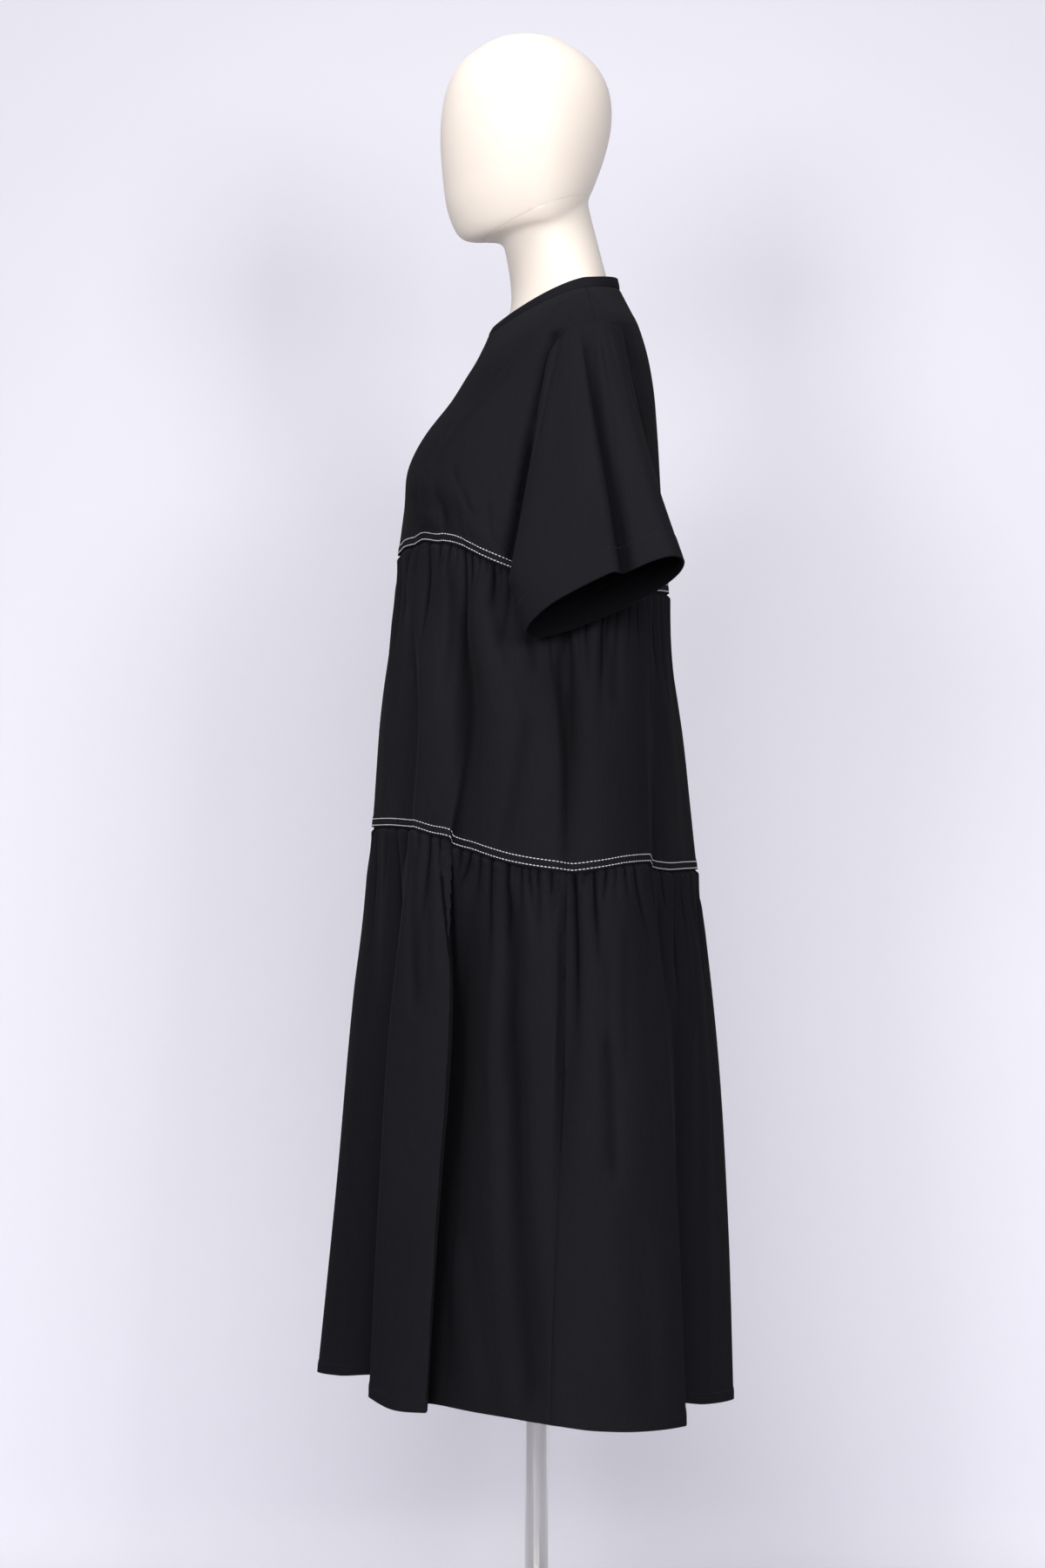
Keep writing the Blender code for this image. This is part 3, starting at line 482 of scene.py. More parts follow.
def both_sides(folds):
    """A fold table with its left side repeated, a little changed, on the right."""
    right = tuple(
        (tuple(180 - a + RIGHT_TURN for a in line), behind, ahead,
         tuple(h * RIGHT_HEIGHT for h in heights), crisp, -forward)
        for line, ahead, behind, heights, crisp, forward in folds)
    return tuple(folds) + right


def folded(surface, shape):
    """A surface moved out by the height, and along by the lean, of shape(angle, t)."""
    def moved(angle, t):
        angle, t = np.broadcast_arrays(np.asarray(angle, float), np.asarray(t, float))
        out, around, _ = directions(surface, angle, t)
        height, lean = shape(angle, t)
        return surface(angle, t) + out * height[..., None] + around * lean[..., None]
    return moved


def round_plan(plan):
    """A plan's lines all round: the left side's, and ones much like them on the right."""
    left = np.array(plan, float)
    right = left[-2:0:-1].copy()
    turned = RIGHT_TURN * np.abs(np.sin(np.radians(2 * right[:, 0])))
    right[:, 0] = turned - 180.0 - right[:, 0]
    right[:, 1:3] *= (RIGHT_HEIGHT, -RIGHT_HEIGHT)
    return np.vstack((left, right, left[:1] - (360.0, 0.0, 0.0, 0.0)))


def relief(levels, crispness, angle, t):
    """How far the plans' fold lines move the cloth out, along and up, in metres."""
    table = [(at, *round_plan(plan).reshape(-1)) for at, plan in levels]
    lines = read_table(table, t)
    lines = lines.reshape(*lines.shape[:-1], -1, 4)
    place, value = lines[..., 0], lines[..., 1:]
    width = (place[..., :-1] - place[..., 1:])[..., None]
    slope = (value[..., 1:, :] - value[..., :-1, :]) / width
    before = np.concatenate((slope[..., -1:, :], slope), axis=-2)
    after = np.concatenate((slope, slope[..., :1, :]), axis=-2)
    width_before = np.concatenate((width[..., -1:, :], width), axis=-2)
    width_after = np.concatenate((width, width[..., :1, :]), axis=-2)
    soft = (before * width_before + after * width_after) / (width_before + width_after)
    crisp = np.array(crispness + crispness[-2:0:-1] + crispness[:1])[:, None]
    around = 90.0 - (90.0 - angle) % 360.0
    shape = np.broadcast(place[..., 0], around).shape
    line = sum(around < place[..., k] for k in range(1, slope.shape[-2])) + np.zeros(shape, int)

    def at_line(values, step=0):
        """Each point's own value from a list of values by line."""
        values = np.broadcast_to(values, shape + values.shape[-2:])
        return np.take_along_axis(values, line[..., None, None] + step, axis=-2)[..., 0, :]
    leave = crisp[:-1] * slope + (1 - crisp[:-1]) * soft[..., :-1, :]
    reach = crisp[1:] * slope + (1 - crisp[1:]) * soft[..., 1:, :]
    span = at_line(width)
    x = (at_line(place[..., None]) - around[..., None]) / span
    start = (1 + 2 * x) * (1 - x) ** 2 * at_line(value) + x * (1 - x) ** 2 * span * at_line(leave)
    end = x * x * (3 - 2 * x) * at_line(value, 1) + x * x * (x - 1) * span * at_line(reach)
    return (start + end) * MM


def planned(base, move):
    """A surface whose ovals are moved out, along and up by move(angle, t)."""
    def moved(angle, t):
        angle, t = np.asarray(angle, float), np.asarray(t, float)
        around = base(angle + ANGLE_STEP, t) - base(angle - ANGLE_STEP, t)
        around[..., 2] = 0.0
        around = unit(around)
        out = np.stack((-around[..., 1], around[..., 0], around[..., 2]), axis=-1)
        shift = move(angle, t)
        point = base(angle, t) + out * shift[..., :1] + around * shift[..., 1:2]
        point[..., 2] += shift[..., 2]
        return point
    return moved


def bodice_surface():
    """The bodice from the neck seam to the waist seam."""
    folds = both_sides(BODICE_FOLDS)

    def at_waist(angle, t):
        near = smooth((t - 0.72) / 0.28)
        share = np.stack(np.broadcast_arrays(near, near, smooth((t - 0.55) / 0.45)), axis=-1)
        return relief(((0, WAIST_PLAN), (1, WAIST_PLAN)), MIDDLE_CRISP, angle, 0.0) * share

    def shape(angle, t):
        bust = (bump(turn(angle - BUST_ANGLE) / BUST_SPREAD)
                + bump(turn(angle - 180 + BUST_ANGLE) / BUST_SPREAD)) * bump((t - 0.58) / 0.34)
        height, lean = fold_shape(folds, angle, t)
        full = smooth((t - 0.50) / 0.3) * (1 - smooth((t - 0.84) / 0.16))
        return bust * BUST_HEIGHT + height * full, lean * full
    return folded(planned(section_surface(BODICE_SECTIONS), at_waist), shape)


def crease_field(creases, surface, points):
    """Heights at points of the cloth from creases given by their ends, in metres."""
    total = np.zeros(points.shape[:2])
    for (start_t, start_angle), (end_t, end_angle), width, height in creases:
        for side in (1, -1):
            angles = [a if side > 0 else 180 - a + RIGHT_TURN for a in (start_angle, end_angle)]
            start = surface(angles[0], start_t)
            along = surface(angles[1], end_t) - start
            off = points - start
            share = np.sum(off * along, axis=-1) / np.sum(along * along)
            nearest = off - np.clip(share, 0, 1)[..., None] * along
            distance = np.linalg.norm(nearest, axis=-1)
            ends = smooth((share + 0.15) / 0.3) * smooth((1.15 - share) / 0.3)
            size = height * (1.0 if side > 0 else RIGHT_HEIGHT)
            total += size * MM * bump(distance / (width * MM)) * ends
    return total


def even_angle(share):
    """The angle at a share of the way round, even along the cloth."""
    around = 2 * np.pi * np.asarray(share, float)
    return np.degrees(around + 0.13 * np.sin(2 * around) + 0.006 * np.sin(7 * around)
                      + 0.004 * np.sin(12 * around))


def share_of(angle):
    """The share of the way round at an angle: even_angle read backward."""
    shares = np.linspace(-0.75, 0.75, 3001)
    return np.interp(angle, even_angle(shares), shares)


def arc(points, axis):
    """Lengths along a grid of points, from its start, down one of its axes."""
    steps = np.linalg.norm(np.diff(points, axis=axis), axis=-1)
    start = np.zeros_like(np.take(steps, [0], axis=axis))
    return np.concatenate((start, np.cumsum(steps, axis=axis)), axis=axis)


def t_from_edge(surface, angles, distances):
    """For each angle, the t at each distance above the lower edge."""
    ts = np.linspace(0.7, 1.0, 121)
    lengths = arc(surface(angles[None, :], ts[::-1, None]), 0)
    return np.stack([np.interp(distances, lengths[:, k], ts[::-1])
                     for k in range(len(angles))], axis=1)


def half_shares(columns, front):
    """Columns across the front or back half, closer together beside the side seams."""
    near = np.array((0.0, 0.0010, 0.0022, 0.0036, 0.0056))
    shares = np.concatenate((near, np.linspace(0.0085, 0.4915, columns), 0.5 - near[::-1]))
    return shares if front else -shares


def roll_in(points, out, open_edges=(True, True)):
    """Turns the side edges of a panel in toward the body, with a strip of allowance."""
    for end, is_open in ((0, open_edges[0]), (-1, open_edges[1])):
        if not is_open:
            continue
        flipped = points if end == 0 else points[:, ::-1]
        from_edge = arc(flipped, 1)
        from_edge = from_edge if end == 0 else from_edge[:, ::-1]
        roll = SEAM_ROLL * (1 - smooth(from_edge / SEAM_ROLL_WIDTH))
        points = points - out * roll[..., None]
        inner = points[:, [0 if end == 0 else -1]] - out[:, [end]] * SEAM_TURN
        if end == 0:
            points = np.concatenate((inner, points), axis=1)
            out = np.concatenate((out[:, [0]], out), axis=1)
        else:
            points = np.concatenate((points, inner), axis=1)
            out = np.concatenate((out, out[:, [-1]]), axis=1)
    return points, out


def off_side_seams(points):
    """Moves a panel's side edges just short of the seams they share."""
    points = points.copy()
    for end, inside in ((0, 2), (-1, -3)):
        points[:, end] += unit(points[:, inside] - points[:, end]) * SEAM_HALF
    return points


def puckers(count, shares, from_edge, start=0.0):
    """Ripples that the gathers below a seam make in the cloth above it."""
    return (PUCKER * np.cos(2 * np.pi * count * shares + start)
            * np.exp(-from_edge / PUCKER_REACH))


def groove(distance, at, depth=0.28 * MM, width=1.1 * MM):
    """The dip that a row of stitches pulls into layered cloth."""
    return -depth * bump((distance - at) / width)


poplin = Finish("black_poplin", Specular_IOR_Level=0.0, Sheen_Weight=0.012, Sheen_Roughness=0.4)
poplin_plain = poplin.coordinates("UV", (1.0, 1.0, 1.0))
poplin_across, poplin_down = (
    poplin.node("ShaderNodeSeparateXYZ", inputs={0: poplin_plain}, output=k) for k in (0, 1))
THREAD_TURNS = 2 * math.pi / (0.9 * MM)     # warp and weft threads are 0.45 mm apart
weave = (poplin_across * THREAD_TURNS).sine() * (poplin_down * THREAD_TURNS).sine()
warp_slub = poplin.noise(poplin.coordinates("UV", (900.0, 40.0, 1.0)), 1.0, 3.0, 0.6)
weft_slub = poplin.noise(poplin.coordinates("UV", (60.0, 1300.0, 1.0)), 1.0, 3.0, 0.6)
rumple = poplin.noise(poplin.coordinates("UV", (26.0, 17.0, 1.0)), 1.0, 4.0, 0.55)
crinkle = poplin.noise(poplin.coordinates("UV", (110.0, 80.0, 1.0)), 1.0, 4.0, 0.6)
wear = poplin.noise(poplin.coordinates("Object", (9.0, 9.0, 5.0)), 1.0, 3.0, 0.5)
slub = warp_slub * 0.6 + weft_slub * 0.4
# Painted shade: the colour is darkened toward a near black where the cloth lies deep in its folds,
# and all over the inside of each shell.
in_hollow = poplin.node("ShaderNodeAttribute", {"attribute_name": "hollow"}, output=2)
SHADE_BLACK = (0.0015, 0.0015, 0.0018)
SHADE_SHARE = 0.72
rubbed = poplin.mix(slub * 0.6 + wear * 0.4,
                    (0.0067, 0.0065, 0.0082), (0.0133, 0.0130, 0.0159))
poplin.surface({
    # The mix toward the near black is painted shade in the folds.
    "Base Color": poplin.mix(in_hollow * SHADE_SHARE, rubbed, SHADE_BLACK),
    "Roughness": wear * 0.10 + slub * 0.06 + 0.60,
    "Normal": poplin.bump(weave * 0.3 + slub, 0.00010, 0.5, Normal=poplin.bump(
        rumple + crinkle * 0.4, 0.0032, 0.60)),
})


# Painted shade in the folds is read at two sizes: how far the cloth around is read, and what depth
# is full.
FOLD_SHADE_SIZES = ((9 * MM, 2.8 * MM), (34 * MM, 20 * MM))


def hollows(points):
    """How deep each point of a grid lies in the folds round it, from 0 to 1, for the painted shade
    in the cloth's colour.
    """
    columns = points.shape[1]
    step = np.linalg.norm(np.diff(points, axis=1), axis=-1).mean()
    total = np.zeros(points.shape[:2])
    for reach, full in FOLD_SHADE_SIZES:
        side = int(2.5 * reach / step)
        weights = np.exp(-(np.arange(-side, side + 1) * step / reach) ** 2 / 2)
        padded = np.pad(points, ((0, 0), (side, side), (0, 0)), "reflect", reflect_type="odd")
        even = sum(w * padded[:, k:k + columns] for k, w in enumerate(weights / weights.sum()))
        out = unit(np.cross(np.gradient(even, axis=1), np.gradient(even, axis=0)))
        if np.sum(out * (points - points.mean(axis=(0, 1)))) < 0:
            out = -out
        total += np.clip(np.sum((even - points) * out, axis=-1) / full, 0, 1)
    return np.clip(total, 0, 1)


def cloth_piece(name, points, cut, layered=None, closed=False, thickness=CLOTH):
    """A shell of cloth over a grid of points: rows run down it, columns round it."""
    rows, columns = points.shape[:2]
    bpy.ops.object.select_all(action="DESELECT")
    bpy.ops.mesh.primitive_grid_add(x_subdivisions=columns - 1, y_subdivisions=rows - 1)
    piece = bpy.context.object
    piece.data.vertices.foreach_set("co", points.reshape(-1))
    layers = piece.vertex_groups.new(name="layers")
    for row in range(rows):
        weight = 0.0 if layered is None else float(layered[row])
        layers.add(list(range(row * columns, (row + 1) * columns)), weight, "REPLACE")
    # Painted shade: each point's depth in the folds, which darkens the cloth's colour.
    hollow = piece.data.attributes.new("hollow", "FLOAT", "POINT")
    hollow.data.foreach_set("value", hollows(points).reshape(-1))
    uv = piece.data.uv_layers.active.data
    place = np.zeros(len(uv) * 2)
    uv.foreach_get("uv", place)
    place = place.reshape(-1, 2) * cut
    uv.foreach_set("uv", place.reshape(-1))
    piece.data.update()
    if closed:
        activate(piece)
        bpy.ops.object.mode_set(mode="EDIT")
        bpy.ops.mesh.select_all(action="SELECT")
        bpy.ops.mesh.remove_doubles(threshold=2e-5)
        bpy.ops.object.mode_set(mode="OBJECT")
    apply_modifier(piece, "SOLIDIFY", thickness=LAYERS, offset=0.0, vertex_group="layers",
                   thickness_vertex_group=thickness / LAYERS, use_quality_normals=True)
    piece.vertex_groups.clear()
    # Painted shade: the inner wall of each shell is darkened fully, so the inside of a sleeve reads
    # dark.
    hollow = piece.data.attributes["hollow"].data
    values, corners = np.zeros(len(hollow)), np.zeros(len(hollow) * 3)
    hollow.foreach_get("value", values)
    piece.data.vertices.foreach_get("co", corners)
    walls = corners.reshape(2, -1, 3)
    reach = np.linalg.norm(walls - walls.mean(axis=(0, 1)), axis=-1).mean(axis=1)
    values.reshape(2, -1)[np.argmin(reach)] = 1.0      # the inside gets the full painted shade
    hollow.foreach_set("value", values)
    finish_piece(piece, name, poplin, 50.0)
    return piece


# Distances above the gathered seam, closer together at its two rows of stitches.
SEAM_ROWS = np.array((0.0, 0.7, 1.3, 2.0, 2.7, 3.6, 5.4, 7.4, 8.4, 9.0, 9.7, 10.6, 11.6,
                      13.5, 16.5)) * MM
STITCH_ABOVE = (2.0 * MM, 9.0 * MM)
STITCH_ROWS = ((3, "low"), (9, "high"))     # the rows of points at these distances
stitch_rows = []               # name, and the cloth's points and directions out


def note_stitches(seam, points, out):
    """Keeps the lines on the cloth along which the topstitch above a seam will run."""
    for row, name in STITCH_ROWS:
        stitch_rows.append((seam + "_" + name, points[-1 - row, 1:-1], out[-1 - row, 1:-1]))


def edge_layers(count, from_edge, depth):
    """Row weights that are 1 in the folded edge and 0 above it."""
    weights = np.zeros(count)
    weights[-len(from_edge):] = (1 - smooth((from_edge - depth) / (1.2 * MM)))[::-1]
    return weights


def bodice_panel(front):
    """Points, outward directions and row layers of the front or the back."""
    shares = half_shares(BODICE_COLUMNS, front)
    plain = even_angle(shares)
    upper = np.concatenate((np.linspace(0, 0.16, 13), (0.17, 0.1725, 0.175, 0.18),
                            np.linspace(0.19, 0.80, 50)))
    edge_t = t_from_edge(bodice, plain, SEAM_ROWS)[::-1]
    between = np.linspace(0, 1, 9)[1:-1, None]
    middle_t = 0.80 + (edge_t[0][None, :] - 0.80) * between
    t = np.concatenate((np.repeat(upper[:, None], len(plain), 1), middle_t, edge_t))
    cut = read_table(ARMHOLE, t)[..., 0 if front else 1]
    cut = np.where((t >= ARMHOLE[0][0]) & (t <= ARMHOLE[-1][0]), cut, 0.0)
    sign = 1 if front else -1
    angle = sign * (cut + (180 - 2 * cut) * np.abs(plain)[None, :] / 180)
    points = off_side_seams(bodice(angle, t))
    out = directions(bodice, angle, t)[0]
    height = crease_field(BODICE_CREASES, bodice, points)
    from_edge = np.full(t.shape, 1.0)
    from_edge[-len(SEAM_ROWS):] = SEAM_ROWS[::-1, None]
    for at in STITCH_ABOVE:
        height += groove(from_edge, at)
    height += puckers(WAIST_GATHERS, shares, from_edge, 1.3)
    top = arc(points, 0)
    height -= 0.4 * MM * (1 - smooth(top / SEAM_ROLL_WIDTH))
    points = points + out * height[..., None]
    points, out = roll_in(points, out)
    return points, out, edge_layers(len(points), SEAM_ROWS, ALLOWANCE)


bodice = bodice_surface()
BODICE_CUT = {"front": (0.66, 0.40, 0.185), "back": (0.62, 0.36, 0.175)}   # width, length, area
for half in ("front", "back"):
    points, out, layers = bodice_panel(half == "front")
    note_stitches("waist_" + half, points, out)
    width, length, area = BODICE_CUT[half]
    piece = cloth_piece("bodice_" + half + "_cloth", points, (width, length), layers)
    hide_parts("bodice_" + half)

# ---------------------------------------------------------------- neck binding
# A folded bias strip of the same poplin, 11 mm wide, closes the round neck.
BAND_SECTIONS = (
    (0.00, -0.0468, 1.4455, 0.0745, 0.0517, 1.4943, 0.0862, 1.4982, 1.00, 1.35),
    (1.00, -0.0510, 1.4370, 0.0800, 0.0520, 1.4835, 0.0884, 1.4870, 1.00, 1.35),
)
BAND_CUT = (0.50, 0.0125)
band = section_surface(BAND_SECTIONS)
band_t = np.concatenate((np.linspace(0, 0.9, 9), (0.955,)))[:, None]
band_angle = even_angle(np.linspace(0.0, 1.0, 241))[None, :]
points = band(band_angle, band_t)
out, _, down = directions(band, band_angle, band_t)
band_height = 0.3 * MM * bump((band_t - 0.5) / 0.6) - 0.3 * MM * smooth((band_t - 0.82) / 0.14)
points = points + out * band_height[..., None]
points = np.concatenate((points, points[[-1]] - out[[-1]] * 1.6 * MM + down[[-1]] * 0.4 * MM))
neck = cloth_piece("neck_binding_cloth", points, BAND_CUT, closed=True, thickness=1.5 * MM)
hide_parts("neck_binding")

# ---------------------------------------------------------------- middle tier
# The first gathered tier: two widths of poplin drawn up on the waist seam, so that
# short gathers run out into a few long folds.
MIDDLE_SECTIONS = (
    (0.00, -0.1455, 1.2110, 0.2450, 0.0280, 1.1680, 0.1386, 1.1710, 1.00, 2.00),
    (0.50, -0.1640, 1.0645, 0.2720, 0.0290, 1.0210, 0.1560, 1.0200, 1.00, 2.00),
    (1.00, -0.1740, 0.9180, 0.3000, 0.0300, 0.8740, 0.1685, 0.8700, 1.00, 2.00),
)
MIDDLE_LENGTH = 0.300
MIDDLE_PLAN = (
    (90, 0.5, 0, -6), (80, -6, -8.5, -3), (63, -11.5, -19.5, 3), (51, 7.5, -15, 9),
    (45, 0.5, -13, 12), (39.5, -12, -11.5, 14.5), (35, -12, -10.5, 13), (25.5, 3.5, -10, 13),
    (16, 0.5, -10.5, 8), (5, -1, -8.5, 0.5), (0, -16, -1.5, -5), (-5.5, -2.5, -1.5, -6),
    (-10.5, 5.5, -2, -5.5), (-21.5, 9, -6, -3), (-36.5, 5.5, -7.5, -1.5), (-50, -8.5, -2, -5),
    (-62, -5.5, 1.5, -5.5), (-76, -4, 4.5, -5), (-90, 0, 0, -4.5),
)
KNEE_PLAN = (
    (90, 1, 0, -4), (79, -8, -9, -1.5), (60, -10.5, -15, 7), (52, 2, -12, 13),
    (46.5, -4, -10.5, 11.5), (40, -8, -8, 12), (38.5, -13, 0.5, 7), (30, -13.5, 1, 6),
    (17.5, -5, -1, 2), (3.5, -1.5, -1, -1.5), (0, -5, 0, -3), (-3, -1.5, -1, -3.5),
    (-10, 4.5, -5, -0.5), (-22, 4, -9.5, 5), (-35, 0, -11.5, 7), (-39.5, -5, -10.5, 0.5),
    (-49, -3, -8, -2), (-68.5, -5, 1, -1), (-90, 2.5, 0, -1),
)
MIDDLE_CREASES = (
    ((0.20, 12.5), (0.34, 12.0), 9.0, -2.5),
    ((0.04, 27.0), (0.30, 24.0), 12.0, -3.0),
    ((0.05, 20.0), (0.36, 18.0), 13.0, 2.5),
    ((0.06, -22.0), (0.40, -20.0), 14.0, -3.0),
    ((0.04, -14.0), (0.30, -12.0), 12.0, 2.5),
    ((0.50, 14.0), (0.96, 20.0), 22.0, -2.5),
    ((0.04, 62.0), (0.45, 64.0), 12.0, 3.0),
    ((0.10, 45.0), (0.50, 44.0), 12.0, -2.0),
)
# Gathers on the wearer's left: angle, length in mm, depth, drift in degrees.
MIDDLE_GATHERS = (
    (79, 100, 2.0, -0.5), (70, 65, 2.2, 7), (63.5, 60, 2.0, -2.5), (56.8, 105, 3.4, -3),
    (49.8, 35, 1.8, 1.4), (45.2, 31, 2.0, 1.8), (41.8, 26, 1.6, 0.4), (38.5, 118, 2.8, 1),
    (35.2, 60, 3.0, 0.6), (31.5, 38, 2.0, 1.7), (28.8, 40, 1.8, 1), (26.2, 54, 3.2, 0.8),
    (23.2, 42, 2.2, 1.6), (19.8, 77, 3.2, 2.7), (17, 58, 2.0, 0.8), (13.8, 101, 3.4, 0.4),
    (11.2, 76, 2.0, 0.6), (8.5, 91, 2.6, 0), (5, 104, 2.6, 0.2), (-0.5, 155, 3.2, 1),
    (-5, 89, 2.4, -1.2), (-9.5, 116, 2.8, 0.5), (-17.8, 140, 3.2, 4), (-21.8, 68, 2.0, 3),
    (-25.8, 88, 2.4, 4), (-32.8, 64, 2.2, 4), (-39.5, 60, 2.0, 3), (-49.5, 126, 3.4, 3),
    (-57.8, 85, 2.4, -1.4), (-66.5, 113, 2.6, 0.7), (-74, 50, 2.0, 0.5), (-80, 140, 2.8, 0),
)
MIDDLE_COLUMNS = 410
MIDDLE_GIRTH = 1.30         # the girth over which a gather's width is measured
MIDDLE_WAVES = 21
KNEE_GATHERS = 116
GATHER_WIDTH = 3.3 * MM     # half width at the seam, and its growth with the distance below
GATHER_SPREAD = 0.050
GATHER_START = 3.0 * MM
GATHER_ROUND = 0.03         # how rounded a gather's bottom is, and what that takes off it
GATHER_PEAK = 1.18
GATHER_DEPTH = 3.2 * MM     # of a gather that is given as 1 deep
GATHER_REACH = 1.4          # how far one fades out, in its listed lengths
GATHER_SINK = 1.7 * MM      # a tier's top edge lies this far inside the piece above it
PUFF = 3.4 * MM             # and the cloth swells out just below, over this rise and fall
PUFF_RISE = 6 * MM
PUFF_FALL = 0.060
WAVE_HEIGHT = 1.6 * MM
WAVE_RISE = 0.05
WAVE_FALL = 0.26


def all_gathers(left, count, seed):
    """Gathers all round: the left side's as listed, the others much like them."""
    random = np.random.default_rng(seed)
    found = [(float(share_of(angle)), length, depth, drift / 360)
             for angle, length, depth, drift in left]
    for angle, length, depth, drift in left:
        share = 0.5 - float(share_of(angle)) + random.normal(0, 0.0012)
        found.append((share, length * random.uniform(0.7, 1.3),
                      depth * random.uniform(0.8, 1.15), -drift / 360))
    low, high = float(share_of(left[-1][0])), float(share_of(left[0][0]))
    step = 1.0 / count
    for start, end in ((high, 0.5 - high), (0.5 - low, 1.0 + low)):
        inner = max(int(round((end - start) / step)) - 1, 0)
        for k in range(inner):
            share = start + (end - start) * (k + 1) / (inner + 1)
            share += random.uniform(-0.25, 0.25) * step
            long_one = random.random() < 0.3
            length = random.uniform(70, 150) if long_one else random.uniform(25, 60)
            found.append((share, length, random.uniform(1.8, 3.2),
                          random.uniform(-1.2, 1.2) / 360))
    return found


def gather_field(gathers, share, distance, girth):
    """Heights of the gathers below a seam, in metres."""
    total = np.zeros(np.broadcast(share, distance).shape)
    below = np.maximum(distance, 0.0)
    for place, length, depth, drift in gathers:
        reach = length * MM * GATHER_REACH
        line = place + drift * smooth(below / reach)
        off = ((share - line + 0.5) % 1.0 - 0.5) * girth
        width = GATHER_WIDTH + GATHER_SPREAD * below
        fade = smooth(below / GATHER_START) * (1 - smooth(below / reach))
        x = np.sqrt((off / width) ** 2 + GATHER_ROUND)
        total -= depth * GATHER_DEPTH * GATHER_PEAK * np.exp(-x) * fade
    puff = PUFF * smooth(below / PUFF_RISE) * np.exp(-below / PUFF_FALL)
    return total + puff


def soft_waves(waves, share, distance):
    """The few slow waves that the gathers run out into, in metres."""
    around = 2 * np.pi * share
    uneven = 1.0 + 0.25 * np.sin(5 * around + 0.7) + 0.2 * np.sin(11 * around + 2.0)
    soft = -np.cos(waves * around + 0.9 * np.sin(3 * around)) * uneven
    return soft * WAVE_HEIGHT * smooth(distance / WAVE_RISE) * np.exp(-distance / WAVE_FALL)


ABOVE_SEAM = -2.2 * MM      # where a tier's rows of points start, inside the piece above
FIRST_STEP = 0.9 * MM
STEP_GROWTH = 1.13


def spaced_rows(length, coarse, edge_rows):
    """Distances down a tier: close below its seam, and again above its lower edge."""
    rows = [ABOVE_SEAM, 0.0]
    step = FIRST_STEP
    while rows[-1] + step < length - edge_rows[-1] - 0.4 * coarse:
        rows.append(rows[-1] + step)
        step = min(step * STEP_GROWTH, coarse)
    return np.concatenate((rows, length - edge_rows[::-1]))


def tier_panel(surface, front, columns, distances, length, gathers, girth, waves, creases,
               edge):
    """Points, outward directions and share of each column, for half a tier."""
    shares = half_shares(columns, front)
    angle = even_angle(shares)[None, :]
    t = np.clip(distances / length, 0.0, 1.0)[:, None]
    points = surface(angle, t)
    out, _, down = directions(surface, angle, t)
    points = off_side_seams(points)
    above = np.minimum(distances, 0.0)[:, None]
    points = points + down * above[..., None]
    distance = distances[:, None]
    height = -GATHER_SINK * (1 - smooth(distance / (4 * MM)))
    height = height + gather_field(gathers, shares[None, :], distance, girth)
    height = height + soft_waves(waves, shares[None, :], np.maximum(distance, 0.0))
    height = height + crease_field(creases, surface, points)
    from_edge = length - distance
    height = height * smooth(from_edge / 0.02 + 0.15) if edge == "seam" else height
    return points, out, height, from_edge, shares


waist_gathers = all_gathers(MIDDLE_GATHERS, WAIST_GATHERS, 11)
middle = planned(section_surface(MIDDLE_SECTIONS), lambda angle, t: relief(
    ((0, WAIST_PLAN), (0.5, MIDDLE_PLAN), (1, KNEE_PLAN)), MIDDLE_CRISP, angle, t))
MIDDLE_CUT = (0.86, 0.315)
middle_rows = spaced_rows(MIDDLE_LENGTH, 6.5 * MM, SEAM_ROWS)
for half in ("front", "back"):
    points, out, height, from_edge, shares = tier_panel(
        middle, half == "front", MIDDLE_COLUMNS, middle_rows, MIDDLE_LENGTH, waist_gathers,
        MIDDLE_GIRTH, MIDDLE_WAVES, MIDDLE_CREASES, "seam")
    for at in STITCH_ABOVE:
        height = height + groove(from_edge, at)
    height = height + puckers(KNEE_GATHERS, shares, from_edge)
    points = points + out * height[..., None]
    points, out = roll_in(points, out)
    note_stitches("knee_" + half, points, out)
    layers = edge_layers(len(points), SEAM_ROWS, ALLOWANCE)
    piece = cloth_piece("middle_tier_" + half + "_cloth", points, MIDDLE_CUT, layers)
    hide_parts("middle_tier_" + half)

# ---------------------------------------------------------------- lower tier
# The second gathered tier hangs to the hem in deep soft folds.  Its hem is turned up
# twice, 11 mm deep, and stitched with black thread.
LOWER_SECTIONS = (
    (0.00, -0.1740, 0.9180, 0.3000, 0.0300, 0.8740, 0.1685, 0.8700, 1.00, 2.00),
    (0.33, -0.1830, 0.7230, 0.3230, 0.0260, 0.6860, 0.1865, 0.6810, 1.00, 2.00),
    (0.67, -0.1940, 0.5277, 0.3380, 0.0200, 0.4980, 0.1925, 0.4920, 1.00, 2.00),
    (1.00, -0.2074, 0.3320, 0.3480, 0.0110, 0.3100, 0.1997, 0.3030, 1.00, 2.00),
)
LOWER_LENGTH = 0.575
LOWER_THIRD_PLAN = (
    (90, 14, 0, -2.5), (80, -3.5, -14.5, 0), (71.5, -18.5, -27, 8), (58, 10.5, -30, 9),
    (51.5, -2, -30, 6), (45, -18.5, -29, 7), (37.5, -43.5, 30.5, 6.5), (34, -50, 26.5, 6),
    (21, -31, 14, 3.5), (3, -7, -1.5, 1), (0, -18, -2.5, -0.5), (-3.5, -7, -5, -1),
    (-11, 3.5, -7, -0.5), (-23.5, 10, -10.5, 3), (-37, 5.5, -11, 4.5), (-51, -14, -3.5, 5),
    (-62, -8, 0.5, 1), (-76.5, -2, 5, 0), (-90, 6.5, 0, 0),
)
